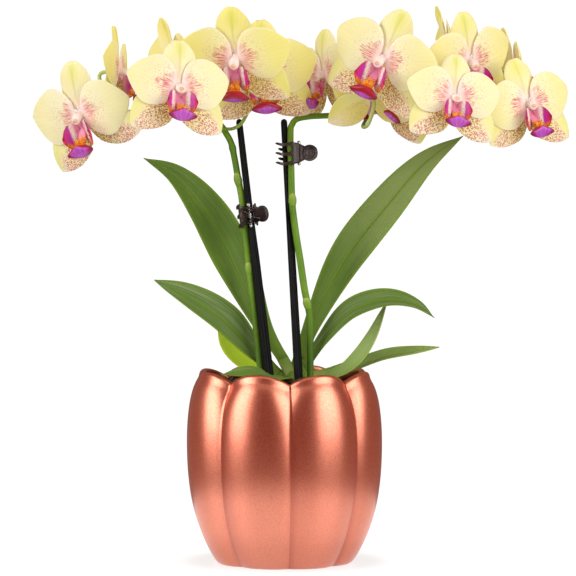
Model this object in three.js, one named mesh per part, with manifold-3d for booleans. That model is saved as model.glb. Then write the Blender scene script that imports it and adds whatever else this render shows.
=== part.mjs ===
// A small moth orchid with two flower spikes, in a lobed copper cover pot.
// Millimetres, Z up, the front towards -Y. The origin is the middle of the pot's base.

import * as THREE from 'three';
import { mergeVertices } from 'three/addons/utils/BufferGeometryUtils.js';
import Module from 'manifold-3d';

const wasm = await Module();
wasm.setup();

const radians = THREE.MathUtils.degToRad;
const { lerp, smoothstep } = THREE.MathUtils;

// Driving dimensions

const clearance = 0.3; // between pieces that rest against each other
const weld = 1e-4; // corners this near to each other are one

const pot = {
  lobes: 8,
  anglesPerLobe: 4,
  firstGroove: radians(-86), // a groove faces the front, 4 degrees to its right
  wall: 3,
  floor: 4,
  floorRadius: 38,
  sinkFrom: 80, // above this height the outside follows the scalloped rim
  crestTop: 115.3,
  grooveTop: 109.6,
  grooveDepth: { base: 3, middle: 3.2, top: 4.3 },
  // Height and radius over a lobe's crest, from the base to the shoulder.
  crest: [
    [0, 40.4], [1.2, 42.2], [6, 45.5], [13.5, 49.5], [23.5, 53.4], [37, 57], [53, 59.2],
    [72, 60], [86, 59.5], [98, 58], [106, 55.8], [111.5, 53],
  ],
};

const nursery = {
  baseRadius: 31, rimRadius: 42.9, rimWidth: 1.4, rimDepth: 4, top: 106.5, wall: 1.1, sides: 24,
};
const bark = { edgeTop: 104.6, middleTop: 108.6, bump: 1.3, sides: 24 };
const crown = { x: 5.5, y: 0.5, radius: 7.4, rootRadius: 9.4, rootEnd: 64, top: 112 };
const rootHole = { radius: crown.rootRadius + 4 * clearance, floor: crown.rootEnd - clearance };

const stem = {
  foot: 1.9, middle: 2.1, top: 1.5, tip: 1.05, stalk: 0.95, sides: 7, upperSides: 6, stalkSides: 5,
};
const stake = { foot: 2.7, top: 1.75, ridge: 0.22, ridges: 8 };

const vec = (x, y, z) => new THREE.Vector3(x, y, z);
const vecs = (rows) => rows.map((row) => vec(...row));
const along = (points) => new THREE.CatmullRomCurve3(points, false, 'centripetal');

// Closed bodies

function toManifold(points, triangles) {
  const positions = new Float32Array(points.flatMap((point) => point.toArray()));
  const mesh = new wasm.Mesh({
    numProp: 3,
    vertProperties: positions,
    triVerts: new Uint32Array(triangles.flat()),
  });
  return new wasm.Manifold(mesh);
}

// Six times the volume, which is negative where the faces look inwards.
function signedVolume(points, triangles) {
  const volume = ([a, b, c]) => points[a].dot(vec(0, 0, 0).crossVectors(points[b], points[c]));
  return triangles.reduce((sum, triangle) => sum + volume(triangle), 0);
}

function closedBody(points, triangles) {
  const outward = signedVolume(points, triangles) > 0;
  const turned = outward ? triangles : triangles.map(([a, b, c]) => [a, c, b]);
  return toManifold(points, turned);
}

// Body through a run of rings, each a list of the same number of points.
function loft(rings) {
  const sides = rings[0].length;
  const points = rings.flat();
  const triangles = [];
  for (let ring = 0; ring < rings.length - 1; ring += 1) {
    for (let side = 0; side < sides; side += 1) {
      const a = ring * sides + side;
      const b = ring * sides + ((side + 1) % sides);
      triangles.push([a, b, b + sides], [a, b + sides, a + sides]);
    }
  }
  const middleOf = (ring) => ring.reduce((sum, point) => sum.add(point), vec(0, 0, 0))
    .divideScalar(sides);
  const last = (rings.length - 1) * sides;
  const start = points.push(middleOf(rings[0])) - 1;
  const end = points.push(middleOf(rings.at(-1))) - 1;
  for (let side = 0; side < sides; side += 1) {
    const next = (side + 1) % sides;
    triangles.push([start, next, side], [end, last + side, last + next]);
  }
  return closedBody(points, triangles);
}

// Thin body between two faces that are split alike. facePoint(t, s, face) gives a point at t
// from 0 to 1 along the blade and s from -1 to 1 across it, on its face 1 or -1.
function blade(facePoint, stations, lanes) {
  const points = [];
  for (const face of [1, -1]) {
    for (const t of stations) {
      for (let lane = 0; lane <= lanes; lane += 1) {
        points.push(facePoint(t, (2 * lane) / lanes - 1, face));
      }
    }
  }
  const row = lanes + 1;
  const back = stations.length * row;
  const triangles = [];
  for (let i = 0; i < stations.length - 1; i += 1) {
    for (let j = 0; j < lanes; j += 1) {
      const a = i * row + j;
      const [b, c, d] = [a + 1, a + row + 1, a + row];
      triangles.push([a, b, c], [a, c, d]);
      triangles.push([a + back, c + back, b + back], [a + back, d + back, c + back]);
    }
  }
  const border = [];
  for (let j = 0; j < lanes; j += 1) border.push(j);
  for (let i = 0; i < stations.length - 1; i += 1) border.push(i * row + lanes);
  for (let j = lanes; j > 0; j -= 1) border.push((stations.length - 1) * row + j);
  for (let i = stations.length - 1; i > 0; i -= 1) border.push(i * row);
  border.forEach((a, place) => {
    const b = border[(place + 1) % border.length];
    triangles.push([a, a + back, b + back], [a, b + back, b]);
  });
  return closedBody(points, triangles);
}

// Round or ridged rod along a curve, with its radius given by a function of t.
function rod(curve, radiusAt, steps, sides, ridge = 0) {
  const frames = curve.computeFrenetFrames(steps);
  const rings = [];
  for (let step = 0; step <= steps; step += 1) {
    const centre = curve.getPointAt(step / steps);
    const ring = [];
    for (let side = 0; side < sides; side += 1) {
      const angle = (2 * Math.PI * side) / sides;
      const radius = radiusAt(step / steps) - (side % 2) * ridge;
      ring.push(centre.clone()
        .addScaledVector(frames.normals[step], radius * Math.cos(angle))
        .addScaledVector(frames.binormals[step], radius * Math.sin(angle)));
    }
    rings.push(ring);
  }
  return loft(rings);
}

// A closed geometry as a body that can be joined and cut.
function bodyOf(geometry) {
  geometry.deleteAttribute('normal');
  geometry.deleteAttribute('uv');
  const { attributes: { position }, index } = mergeVertices(geometry, weld);
  const points = Array.from({ length: position.count }, (_, i) => (
    vec(0, 0, 0).fromBufferAttribute(position, i)));
  const triangles = Array.from({ length: index.count / 3 }, (_, i) => (
    Array.from(index.array.slice(3 * i, 3 * i + 3))));
  return closedBody(points, triangles.filter(([a, b, c]) => a !== b && b !== c && c !== a));
}

// Upright drum about the Z axis, with its middle at a place.
const drum = (radius, length, sides, [x, y, z] = [0, 0, 0]) => bodyOf(
  new THREE.CylinderGeometry(radius, radius, length, sides).rotateX(Math.PI / 2)
    .translate(x, y, z));

// Flat outline drawn out along Z from 0 to a height.
function prism(outline, height) {
  const shape = new THREE.Shape(outline.map(([x, y]) => new THREE.Vector2(x, y)));
  return new THREE.ExtrudeGeometry(shape, { depth: height, bevelEnabled: false });
}

const fuse = (solids) => solids.reduce((whole, solid) => whole.add(solid));

function meshOf(name, solid, material) {
  const { vertProperties, triVerts } = solid.getMesh();
  const geometry = new THREE.BufferGeometry();
  geometry.setAttribute('position', new THREE.BufferAttribute(vertProperties, 3));
  geometry.setIndex(new THREE.BufferAttribute(triVerts, 1));
  const mesh = new THREE.Mesh(geometry.toNonIndexed(), material);
  mesh.geometry.computeVertexNormals();
  mesh.name = name;
  return mesh;
}

const finish = (color, roughness, metalness = 0) => new THREE.MeshStandardMaterial({
  color, roughness, metalness, side: THREE.DoubleSide,
});

const finishes = {
  copper: finish(0xc2704f, 0.3, 0.9),
  plastic: finish(0x1a1a1a, 0.5),
  bark: finish(0x2a211a, 0.95),
  sheath: finish(0x6f9a2c, 0.5),
  leaf: finish(0x3f7526, 0.45),
  youngLeaf: finish(0x8fa81e, 0.45),
  stem: finish(0x6b9a24, 0.5),
  clip: finish(0x33231f, 0.25),
  steel: finish(0xc8c8c8, 0.25, 1),
  tepal: finish(0xf1eda2, 0.55),
  lip: finish(0xc22a8a, 0.5),
};

// Cover pot

// 1 over a lobe's crest and 0 in a groove, at an angle about the pot's axis.
function lobeAt(angle) {
  const pitch = (2 * Math.PI) / pot.lobes;
  const turns = (angle - pot.firstGroove) / pitch;
  const fromCrest = 2 * (turns - Math.floor(turns)) - 1;
  return 1 - fromCrest * fromCrest;
}

function potRing(angles, heightAt, radiusAt) {
  return angles.map((angle) => {
    const radius = radiusAt(angle);
    return vec(radius * Math.cos(angle), radius * Math.sin(angle), heightAt(angle));
  });
}

function grooveDepthAt(height) {
  const { base, middle, top } = pot.grooveDepth;
  const half = pot.crestTop / 2;
  return height < half ? lerp(base, middle, height / half) : lerp(middle, top, height / half - 1);
}

// Radius of the outside at a height, narrower by inset all round.
function potRadius(angle, height, crestRadius, inset = 0) {
  return crestRadius - inset - grooveDepthAt(height) * (1 - lobeAt(angle));
}

const rimHeight = (angle) => lerp(pot.grooveTop, pot.crestTop, lobeAt(angle));

function buildPot() {
  const count = pot.lobes * pot.anglesPerLobe;
  const angles = Array.from({ length: count }, (_, i) => (
    pot.firstGroove + (2 * Math.PI * i) / count));
  const shoulder = pot.crest.at(-1)[0];
  // The upper rings sink towards a groove, so that they run along the rim.
  const sunk = (height) => (angle) => height
    - smoothstep(height, pot.sinkFrom, shoulder) * (pot.crestTop - rimHeight(angle));
  const rings = pot.crest.map(([height, radius]) => (
    potRing(angles, sunk(height), (angle) => potRadius(angle, height, radius))));
  // The rim, as inset from the shoulder's radius and drop below the rim's height.
  for (const [inset, drop] of [[2.2, 0.9], [3.6, 0], [5, 0.7]]) {
    const radius = pot.crest.at(-1)[1];
    rings.push(potRing(angles, (angle) => rimHeight(angle) - drop,
      (angle) => potRadius(angle, shoulder, radius, inset)));
  }
  const inside = pot.crest.filter(([height], place) => (
    place % 2 && height > 2 * pot.floor && height < shoulder));
  for (const [height, radius] of inside.reverse()) {
    rings.push(potRing(angles, sunk(height), (angle) => (
      potRadius(angle, height, radius, pot.wall))));
  }
  rings.push(potRing(angles, () => pot.floor, (angle) => potRadius(angle, 0, pot.floorRadius)));
  return meshOf('pot', loft(rings), finishes.copper);
}

// Nursery pot and bark

const nurseryFoot = pot.floor + clearance;

function nurseryRadius(height) {
  const rise = (height - nurseryFoot) / (nursery.top - nurseryFoot);
  return lerp(nursery.baseRadius, nursery.rimRadius - nursery.rimWidth, rise);
}

function buildNurseryPot() {
  const { top, wall, rimRadius } = nursery;
  const underRim = top - nursery.rimDepth;
  const profile = [
    [0, nurseryFoot], [nursery.baseRadius, nurseryFoot], [nurseryRadius(underRim), underRim],
    [rimRadius, underRim], [rimRadius, top], [nurseryRadius(top) - wall, top],
    [nurseryRadius(nurseryFoot + wall) - wall, nurseryFoot + wall], [0, nurseryFoot + wall],
  ];
  const outline = profile.map(([radius, height]) => new THREE.Vector2(radius, height));
  const turned = new THREE.LatheGeometry(outline, nursery.sides).rotateX(Math.PI / 2);
  return meshOf('nursery_pot', bodyOf(turned), finishes.plastic);
}

// Height of the bark's chunky top, by a formula.
function barkTop(x, y) {
  const outward = Math.hypot(x, y) / nursery.rimRadius;
  const chunks = Math.sin(0.42 * x + 1.1 * Math.sin(0.31 * y)) * Math.sin(0.47 * y + 0.6);
  return lerp(bark.middleTop, bark.edgeTop, outward ** 2) + bark.bump * chunks;
}

function buildBark(holes) {
  const rings = [];
  const ringAt = (radius, heightAt) => Array.from({ length: bark.sides }, (_, side) => {
    const angle = (2 * Math.PI * side) / bark.sides;
    const [x, y] = [radius * Math.cos(angle), radius * Math.sin(angle)];
    return vec(x, y, heightAt(x, y));
  });
  const inside = (height) => nurseryRadius(height) - nursery.wall - clearance;
  const foot = nurseryFoot + nursery.wall + clearance;
  rings.push(ringAt(inside(foot), () => foot));
  const edge = inside(bark.edgeTop);
  rings.push(ringAt(edge, (x, y) => barkTop(x, y)));
  for (const share of [0.82, 0.62, 0.4, 0.15]) rings.push(ringAt(edge * share, barkTop));
  return meshOf('bark', holes.reduce((body, hole) => body.subtract(hole), loft(rings)),
    finishes.bark);
}

// A plain round hole in the bark, from above its top down to a floor.
function well(x, y, radius, floor, sides) {
  const top = 2 * bark.middleTop;
  return drum(radius, top - floor, sides, [x, y, (top + floor) / 2]);
}

// Leaves

// Each leaf has its spine from the crown to the tip, the way its upper face looks at both
// ends, its half width, and its fold: how far its edges rise, as a share of the half width.
const leafShapes = {
  leaf_1: {
    spine: [
      [-1, 3, 121], [-13.6, 8.7, 141], [-30.6, 13.2, 177.6], [-48, 14, 210], [-66, 11, 231.8],
      [-84.4, 6, 242.6],
    ],
    faces: [[0.5, -0.8, 0.35], [0.3, -0.85, 0.5]],
    halfWidth: 14.6, fold: 0.3,
  },
  leaf_2: {
    spine: [[-3, -1.5, 112], [-17, -1, 124.5], [-36, -6, 144.6], [-56.5, -12, 159], [-77, -18, 170]],
    faces: [[0.5, -0.65, 0.6], [0.1, -0.8, 0.6]],
    halfWidth: 12, fold: 0.3,
  },
  leaf_3: {
    spine: [[-1.5, 7, 111], [-14, 16, 115.5], [-29.5, 25, 127.4], [-40.5, 32, 141.5]],
    faces: [[0.3, -0.8, 0.5], [0.3, -0.8, 0.6]],
    halfWidth: 11, fold: 0.2,
  },
  leaf_4: {
    spine: [[2, -7.5, 110.5], [-7, -23, 112], [-20, -29.5, 115.2], [-37, -32, 114.6]],
    faces: [[0, -0.35, 0.9], [0, -0.5, 0.85]],
    halfWidth: 7, fold: 0.2,
  },
  leaf_5: {
    spine: [
      [9, 5.5, 121], [19, 12, 145.5], [38, 18, 181.5], [63, 18, 214], [86, 15, 240], [108, 10, 256],
    ],
    faces: [[-0.5, -0.8, 0.3], [-0.4, -0.8, 0.4]],
    halfWidth: 14, fold: 0.15,
  },
  leaf_6: {
    spine: [
      [12.5, -0.5, 116], [24.4, -5, 133.6], [41.6, -11, 151], [62, -17, 157.6], [78, -23, 155],
      [89, -28, 148],
    ],
    faces: [[-0.6, -0.6, 0.6], [0.2, -0.5, 0.85]],
    halfWidth: 10, fold: 0.3,
  },
  leaf_7: {
    spine: [
      [12.5, -2.6, 109.8], [25, -3.4, 110.4], [37, -8, 114.2], [47, -11.5, 123.6], [54.6, -13, 136.6],
      [61.5, -14, 157],
    ],
    faces: [[-0.2, -0.4, 0.9], [-0.75, -0.6, 0.4]],
    halfWidth: 6.5, fold: 0.55,
  },
  leaf_8: {
    spine: [
      [13, 5, 111], [25, 7, 112], [42, 5, 116.6], [61, 0, 123.2], [78, -4, 126.4],
      [93, -7, 129.5],
    ],
    faces: [[-0.2, -0.4, 0.9], [0, -0.45, 0.9]],
    halfWidth: 8, fold: 0.25,
  },
};

const leaf = { neck: 4.2, thick: 2, thin: 0.9, spans: 7, lanes: 4 };

function leafFrame(shape, t) {
  const curve = along(vecs(shape.spine));
  const centre = curve.getPointAt(t);
  const forward = curve.getTangentAt(t);
  const looks = vecs(shape.faces)[0].lerp(vecs(shape.faces)[1], t);
  const across = forward.clone().cross(looks).normalize();
  const face = across.clone().cross(forward).normalize();
  return { centre, across, face };
}

function leafHalfWidth(shape, t) {
  const swell = lerp(leaf.neck, shape.halfWidth, smoothstep(t, 0, 0.5));
  const taper = t > 0.5 ? 1 - ((t - 0.5) / 0.5) ** 2.1 : 1;
  return Math.max(swell * taper, 0.45);
}

function buildLeaf(name, clear) {
  const shape = leafShapes[name];
  const stations = Array.from({ length: leaf.spans + 1 }, (_, i) => i / leaf.spans);
  const facePoint = (t, s, side) => {
    const { centre, across, face } = leafFrame(shape, t);
    const half = leafHalfWidth(shape, t);
    const rise = shape.fold * half * Math.abs(s) ** 1.3;
    const thickness = lerp(leaf.thick, leaf.thin, Math.abs(s)) * lerp(1, 0.6, t);
    return centre.addScaledVector(across, s * half)
      .addScaledVector(face, rise + (side * thickness) / 2);
  };
  const body = blade(facePoint, stations, leaf.lanes).subtract(clear);
  const young = name === 'leaf_3';
  return meshOf(name, body, young ? finishes.youngLeaf : finishes.leaf);
}

// Crown: a short stem, the sheath that each leaf grows from, and the roots below.

function sheath(shape, clear = 0) {
  const { centre, across, face } = leafFrame(shape, 0);
  const curve = along(vecs(shape.spine));
  const forward = curve.getTangentAt(0);
  const foot = vec(crown.x, crown.y, centre.z - 14);
  const neck = centre.clone().addScaledVector(forward, clear - clearance);
  const bend = centre.clone().addScaledVector(forward, -4).lerp(foot, 0.25);
  const path = along([foot, bend, neck]);
  const rings = [0, 0.5, 1].map((t) => {
    const middle = path.getPoint(t);
    const wide = lerp(4.4, leaf.neck, t) + clear;
    const deep = lerp(3.2, 1.1, t) + clear;
    const sides = 6;
    return Array.from({ length: sides }, (_, side) => {
      const angle = (2 * Math.PI * side) / sides;
      const s = Math.cos(angle);
      const rise = shape.fold * wide * Math.abs(s) ** 1.3;
      return middle.clone().addScaledVector(across, wide * s)
        .addScaledVector(face, rise + deep * Math.sin(angle));
    });
  });
  return loft(rings);
}

function crownStem(extra = 0) {
  const profile = [
    [crown.rootEnd, crown.rootRadius * 0.5], [crown.rootEnd + 8, crown.rootRadius],
    [bark.middleTop - 8, crown.rootRadius], [bark.middleTop + 1, crown.radius],
    [crown.top, crown.radius * 0.75], [crown.top + 3, crown.radius * 0.3],
  ];
  const sides = 12;
  return loft(profile.map(([height, radius]) => Array.from({ length: sides }, (_, side) => {
    const angle = (2 * Math.PI * side) / sides;
    const ridged = height < bark.middleTop ? radius - 1.2 * (side % 2) : radius;
    return vec(crown.x + (ridged + extra) * Math.cos(angle),
      crown.y + (ridged + extra) * Math.sin(angle) * 0.9, height);
  })));
}

const crownBody = (clear = 0) => fuse([
  crownStem(clear), ...Object.values(leafShapes).map((shape) => sheath(shape, clear))]);

// Blooms

// Local frame of a bloom: its face looks along -Y, its dorsal sepal points along +Z.
const bloomShape = {
  petal: {
    length: 31, half: 14.8, claw: 2.1, start: 2.2, angle: 13, depth: -1.7, recurve: 3.2, edge: 0.8,
    spans: 4,
  },
  dorsal: {
    length: 28.2, half: 9.6, claw: 1.8, start: 2.3, angle: 90, depth: 0.4, recurve: 2, edge: 1.8,
    spans: 3,
  },
  lateral: {
    length: 35.7, half: 11.8, claw: 1.8, start: 2.3, angle: -42, depth: 0.4, recurve: 1.5, edge: 1.8,
    spans: 3,
  },
  thickness: 0.7,
  lanes: 2,
};

// Place, yaw (to the viewer's right), pitch (upwards) and roll (anticlockwise) of each bloom,
// its size, and its stalk: the spike, how far along the rachis it starts, and what it passes.
// A bloom that grew askew has its sepals and petals turned by the degrees in askew, in the
// order dorsal sepal, right and left petal, right and left lateral sepal.
const blooms = {
  a: {
    at: [-118.5, -44, 267.8], turn: [-29, -14, 15], size: 1.05, askew: [-9, -12, 2, 13, 4],
    stalk: ['left', 1],
  },
  b: { at: [-100, -4, 294.5], turn: [80, 0, -3], size: 0.9, stalk: ['left', 0.84] },
  c: { at: [-61, -62, 282.6], turn: [18, 9, -5], size: 0.95, stalk: ['left', 0.6] },
  d: { at: [-68, 22, 299.5], turn: [115, 10, 0], size: 0.96, stalk: ['left', 0.66] },
  e: {
    at: [-28, -42, 301], turn: [-14, -25, 0], size: 1.03,
    stalk: ['left', 0.1, [-44.5, -12, 265], [-41, -21, 273], [-33, -24, 287]],
  },
  f: {
    at: [-13, -13, 293.5], turn: [11, -10, 3], size: 1.03,
    stalk: ['left', 0.01, [-31, -6.5, 260], [-26, -9, 262.5], [-20.5, -5, 273]],
  },
  g: { at: [24.5, 4, 292.5], turn: [-52, 0, 5], size: 0.92, stalk: ['right', 0.26] },
  h: {
    at: [58, -46.5, 300], turn: [-25, -6, -22], size: 1.03, askew: [-5, 0, 0, 0, 0],
    stalk: ['right', 0.3, [38.5, -0.5, 292], [50.5, -15, 306]],
  },
  i: {
    at: [52, -20, 279], turn: [-170, 20, 10], size: 0.79, askew: [0, 0, 0, 0, -28],
    stalk: ['right', 0.4, [47, -10, 261.5], [50, -29, 263]],
  },
  j: { at: [69, -1.5, 285], turn: [5, -5, -27], size: 0.96, stalk: ['right', 0.6] },
  k: { at: [98.5, -60, 277], turn: [15, 11, -7], size: 0.88, stalk: ['right', 0.84, [108, -22, 270]] },
  l: {
    at: [108.5, -30, 299.5], turn: [37, -12, 9], size: 0.99, askew: [8, 0, 0, 0, 0],
    stalk: ['right', 0.9],
  },
  m: {
    at: [143.4, -30, 274.4], turn: [27, 3, 7], size: 0.92, askew: [11, 0, 12, 0, -4],
    stalk: ['right', 0.98],
  },
  n: { at: [138, 14, 296], turn: [100, 10, 0], size: 0.86, stalk: ['right', 0.94] },
  o: { at: [98, 13, 309], turn: [95, 10, 0], size: 0.86, stalk: ['right', 0.74] },
};

function tepal(shape, angle, size, wave) {
  const direction = vec(Math.cos(angle), 0, Math.sin(angle));
  const across = vec(-Math.sin(angle), 0, Math.cos(angle));
  const halfAt = (t) => Math.max(
    shape.claw * (1 - t) + shape.half * Math.sin(Math.PI * t ** 0.82) ** 0.75, 0.5);
  const facePoint = (t, s, side) => {
    const half = halfAt(Math.min(t, 0.999));
    const reach = shape.start + shape.length * t;
    const depth = shape.depth + shape.recurve * t ** 3 - 1.2 * Math.sin(Math.PI * t)
      + shape.edge * (s * half / shape.half) ** 2 + wave * s * t * Math.sin(5 * t + 2 * wave);
    return direction.clone().multiplyScalar(reach * size)
      .addScaledVector(across, s * half * size)
      .add(vec(0, depth * size - (side * bloomShape.thickness) / 2, 0));
  };
  const { spans } = shape;
  const stations = Array.from({ length: spans + 1 }, (_, i) => 1 - (1 - i / spans) ** 1.45);
  return blade(facePoint, stations, bloomShape.lanes);
}

// The column: a short rod that comes forward from the middle, with a knob at its end.
function column(size) {
  const rings = [[1.3, 0, 3.7], [-4, -0.6, 2], [-7, -1.6, 2.9], [-9.4, -2.8, 1.6]];
  const sides = 6;
  return loft(rings.map(([y, z, radius]) => Array.from({ length: sides }, (_, side) => {
    const angle = (2 * Math.PI * (side + 0.5)) / sides;
    return vec(radius * Math.cos(angle), y, z + radius * Math.sin(angle)).multiplyScalar(size);
  })));
}

function tepals(size, wave, askew) {
  const { petal, dorsal, lateral } = bloomShape;
  const places = [
    [dorsal, dorsal.angle], [petal, petal.angle], [petal, 180 - petal.angle],
    [lateral, lateral.angle], [lateral, 180 - lateral.angle],
  ];
  const all = places.map(([shape, angle], place) => (
    tepal(shape, radians(angle + askew[place]), size, place % 2 ? wave : -wave)));
  return fuse([column(size), ...all]);
}

// The lip's tongue: it hangs down before the lateral sepals and ends in an anchor.
function tongue(size) {
  const path = along(vecs([
    [0, -1.6, -4], [0, -6, -7.8], [0, -10, -12], [0, -11.4, -16.4], [0, -11, -20],
  ]));
  const halves = [1.8, 2.4, 2.9, 8.6, 4.5];
  const thickness = 0.9;
  const hollow = 0.03;
  const dip = 0.035;
  const facePoint = (t, s, side) => {
    const middle = path.getPoint(t);
    const x = s * halves[Math.round(t * (halves.length - 1))];
    const tangent = path.getTangent(t);
    const out = vec(0, tangent.z, -tangent.y).multiplyScalar((side * thickness) / 2);
    return middle.multiplyScalar(size)
      .add(vec(x, hollow * x * x, dip * x * x).multiplyScalar(size)).add(out);
  };
  return blade(facePoint, [0, 0.5, 0.75, 1], 2);
}

// One of the lip's two side lobes, which stand up and curve in towards each other.
function sideLobe(size, hand) {
  const facePoint = (t, s, side) => {
    const bow = Math.sin(0.62 * Math.PI * t);
    const reach = 3.2 + 3.6 * Math.sin(0.75 * Math.PI * t);
    const lean = (side * 0.8) / 2;
    return vec(hand * (1.4 + 7.4 * bow + lean * 0.7), -4.6 - 8 * t + lean * 0.7,
      -7.6 + s * reach + 1.2 * t).multiplyScalar(size);
  };
  return blade(facePoint, [0, 0.5, 1], 1);
}

const lip = (size) => fuse([tongue(size), sideLobe(size, 1), sideLobe(size, -1)]);

function buildBloom(name) {
  const { at, turn, size, askew = [0, 0, 0, 0, 0] } = blooms[name];
  const group = new THREE.Group();
  const [yaw, pitch, roll] = turn.map(radians);
  group.position.set(...at);
  group.rotation.set(-pitch, -roll, yaw, 'ZXY');
  const wave = 0.5 * Math.sin(7 * name.charCodeAt(0));
  group.add(meshOf(`bloom_${name}_tepals`, tepals(size, wave, askew), finishes.tepal));
  group.add(meshOf(`bloom_${name}_lip`, lip(size), finishes.lip));
  group.updateMatrixWorld(true);
  return group;
}

// Spikes, each one body with its side stalks

const spikes = {
  left: {
    path: [
      [-13.2, -10.4, 84], [-13.2, -10.4, 107], [-14.3, -9.6, 118.4], [-17, -8.4, 143.7],
      [-19.2, -7.5, 163.6], [-23.5, -5.9, 201], [-25.4, -5, 219.4], [-27.3, -4.5, 229.4],
      [-29.6, -3.5, 242.5], [-31.8, -2.5, 252], [-36, -1, 259.5],
    ],
    rachis: [
      [-36, -1, 259.5], [-41, 1, 266], [-48, 3, 270.5], [-60, 4, 272], [-75, 3, 272],
      [-89, -3, 270.5], [-101, -13, 269], [-109, -22, 268.5],
    ],
    bracts: [[0.52, -1], [0.82, -1]],
  },
  right: {
    path: [
      [15.7, -10, 84], [15.7, -10, 107], [15.7, -10.3, 128], [15.4, -10.9, 148],
      [12.3, -11.6, 164], [9.6, -12.1, 182], [7.2, -12.1, 197], [5, -11.8, 215],
      [4.3, -10.3, 237], [3.9, -8.8, 251], [4, -5.5, 261],
    ],
    rachis: [
      [4, -5.5, 261], [7, -1, 265.5], [14, 2.5, 267.3], [26, 4, 268], [39.5, 4, 268.6],
      [52, 8, 270], [68, 10, 273], [86, 9, 275], [102, 6, 276.5], [117, 0, 277.5], [129, -5, 278],
    ],
    bracts: [[0.75, 1], [0.4, -1]],
  },
};

const bloomGroups = Object.fromEntries(Object.keys(blooms).map((name) => [name, buildBloom(name)]));

function stalk(name, rachis) {
  const group = bloomGroups[name];
  const { size, stalk: [, share, ...past] } = blooms[name];
  const start = rachis.getPointAt(share);
  const seat = (1.2 * size) + clearance;
  const end = group.localToWorld(vec(0, seat, 0));
  const behind = group.localToWorld(vec(0, seat + 9, -2));
  const between = past.length ? vecs(past) : [start.clone().lerp(behind, 0.45).add(vec(0, 2, -2))];
  const radiusAt = (t) => stem.stalk * lerp(1, 1.25, t);
  const steps = 2 + 2 * between.length;
  return rod(along([start, ...between, behind, end]), radiusAt, steps, stem.stalkSides);
}

// A small pointed bract that hugs the stem above a node.
function bract(curve, [share, hand]) {
  const middle = curve.getPointAt(share);
  const forward = curve.getTangentAt(share);
  const out = vec(0.35 * hand, -0.94, 0).normalize();
  const across = forward.clone().cross(out).normalize();
  const rings = [[-3, 1.8, 1.4], [0, 2.5, 1.9], [3, 2, 1.7], [6, 0.5, 0.4]];
  return loft(rings.map(([height, wide, deep]) => Array.from({ length: 6 }, (_, side) => {
    const angle = (Math.PI * side) / 3;
    return middle.clone().addScaledVector(forward, height)
      .addScaledVector(out, 0.8 + deep * Math.sin(angle))
      .addScaledVector(across, wide * Math.cos(angle));
  })));
}

function buildSpike(side) {
  const { path, rachis, bracts } = spikes[side];
  const main = along(vecs(path));
  const upper = along(vecs(rachis));
  const mainRadius = (t) => (t < 0.5
    ? lerp(stem.foot, stem.middle, 2 * t) : lerp(stem.middle, stem.top, 2 * t - 1));
  const upperRadius = (t) => lerp(stem.top, stem.tip, t);
  const names = Object.keys(blooms).filter((name) => blooms[name].stalk[0] === side);
  const solid = fuse([
    rod(main, mainRadius, 14, stem.sides),
    rod(upper, upperRadius, 12, stem.upperSides),
    ...bracts.map((place) => bract(main, place)),
    ...names.map((name) => stalk(name, upper)),
  ]);
  return meshOf(`spike_${side}`, solid, finishes.stem);
}

// Support sticks

const sticks = {
  left: [[-5.7, -13.6, 84], [-26.7, -5.5, 264]],
  right: [[10.3, -16, 84], [0, -4.8, 264]],
};

const stickLine = (side) => new THREE.LineCurve3(...vecs(sticks[side]));
const stickRadius = (t) => lerp(stake.foot, stake.top, t);
const buildStake = (side) => rod(
  stickLine(side), stickRadius, 1, 2 * stake.ridges, stake.ridge);
const stickHole = (side) => rod(
  stickLine(side), (t) => stickRadius(t) + 1.5 * clearance, 1, stake.ridges);

// Claw clips

// Local frame of a clip: Z along the stem through the pin, the prongs towards -X and the
// thumb pads towards +X, one jaw on each side of the XZ plane.
const clip = {
  height: 15, strip: 1.3, tip: 0.8, pin: 0.6, pinLength: 12, knuckle: 1.9, lug: 1.3, prong: 2, pitch: 5.7,
  padAt: 6.4, padRadius: 4.9, bore: 0.9,
};

const clips = {
  left: { at: [-20.4, -13, 208.5], lean: -7, heading: -74, grip: 4.65 },
  right: { at: [8.9, -7.8, 245.5], lean: -1, heading: 0, grip: 4.5 },
};

// The bent strip that a jaw is cut from, seen along the pin, on the side of Y that hand gives.
function jawStrip(grip, hand) {
  const middle = along(vecs([
    [10.9, 6.6, 0], [6.4, 5.7, 0], [2.6, 4.1, 0], [0, 3.2, 0], [-3, grip + 0.2, 0],
    [-6.5, grip + 0.65, 0], [-9.8, grip - 0.3, 0], [-12.4, 1.9, 0], [-13.8, 0.4, 0],
  ]));
  const steps = 7;
  const near = [];
  const far = [];
  for (let step = 0; step <= steps; step += 1) {
    const point = middle.getPoint(step / steps);
    const tangent = middle.getTangent(step / steps);
    const thick = lerp(clip.strip, clip.tip, smoothstep(step / steps, 0.6, 1)) / 2;
    near.push([point.x + tangent.y * thick, hand * (point.y - tangent.x * thick)]);
    far.unshift([point.x - tangent.y * thick, hand * (point.y + tangent.x * thick)]);
  }
  return bodyOf(prism([...near, ...far], clip.height).translate(0, 0, -clip.height / 2));
}

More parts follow.
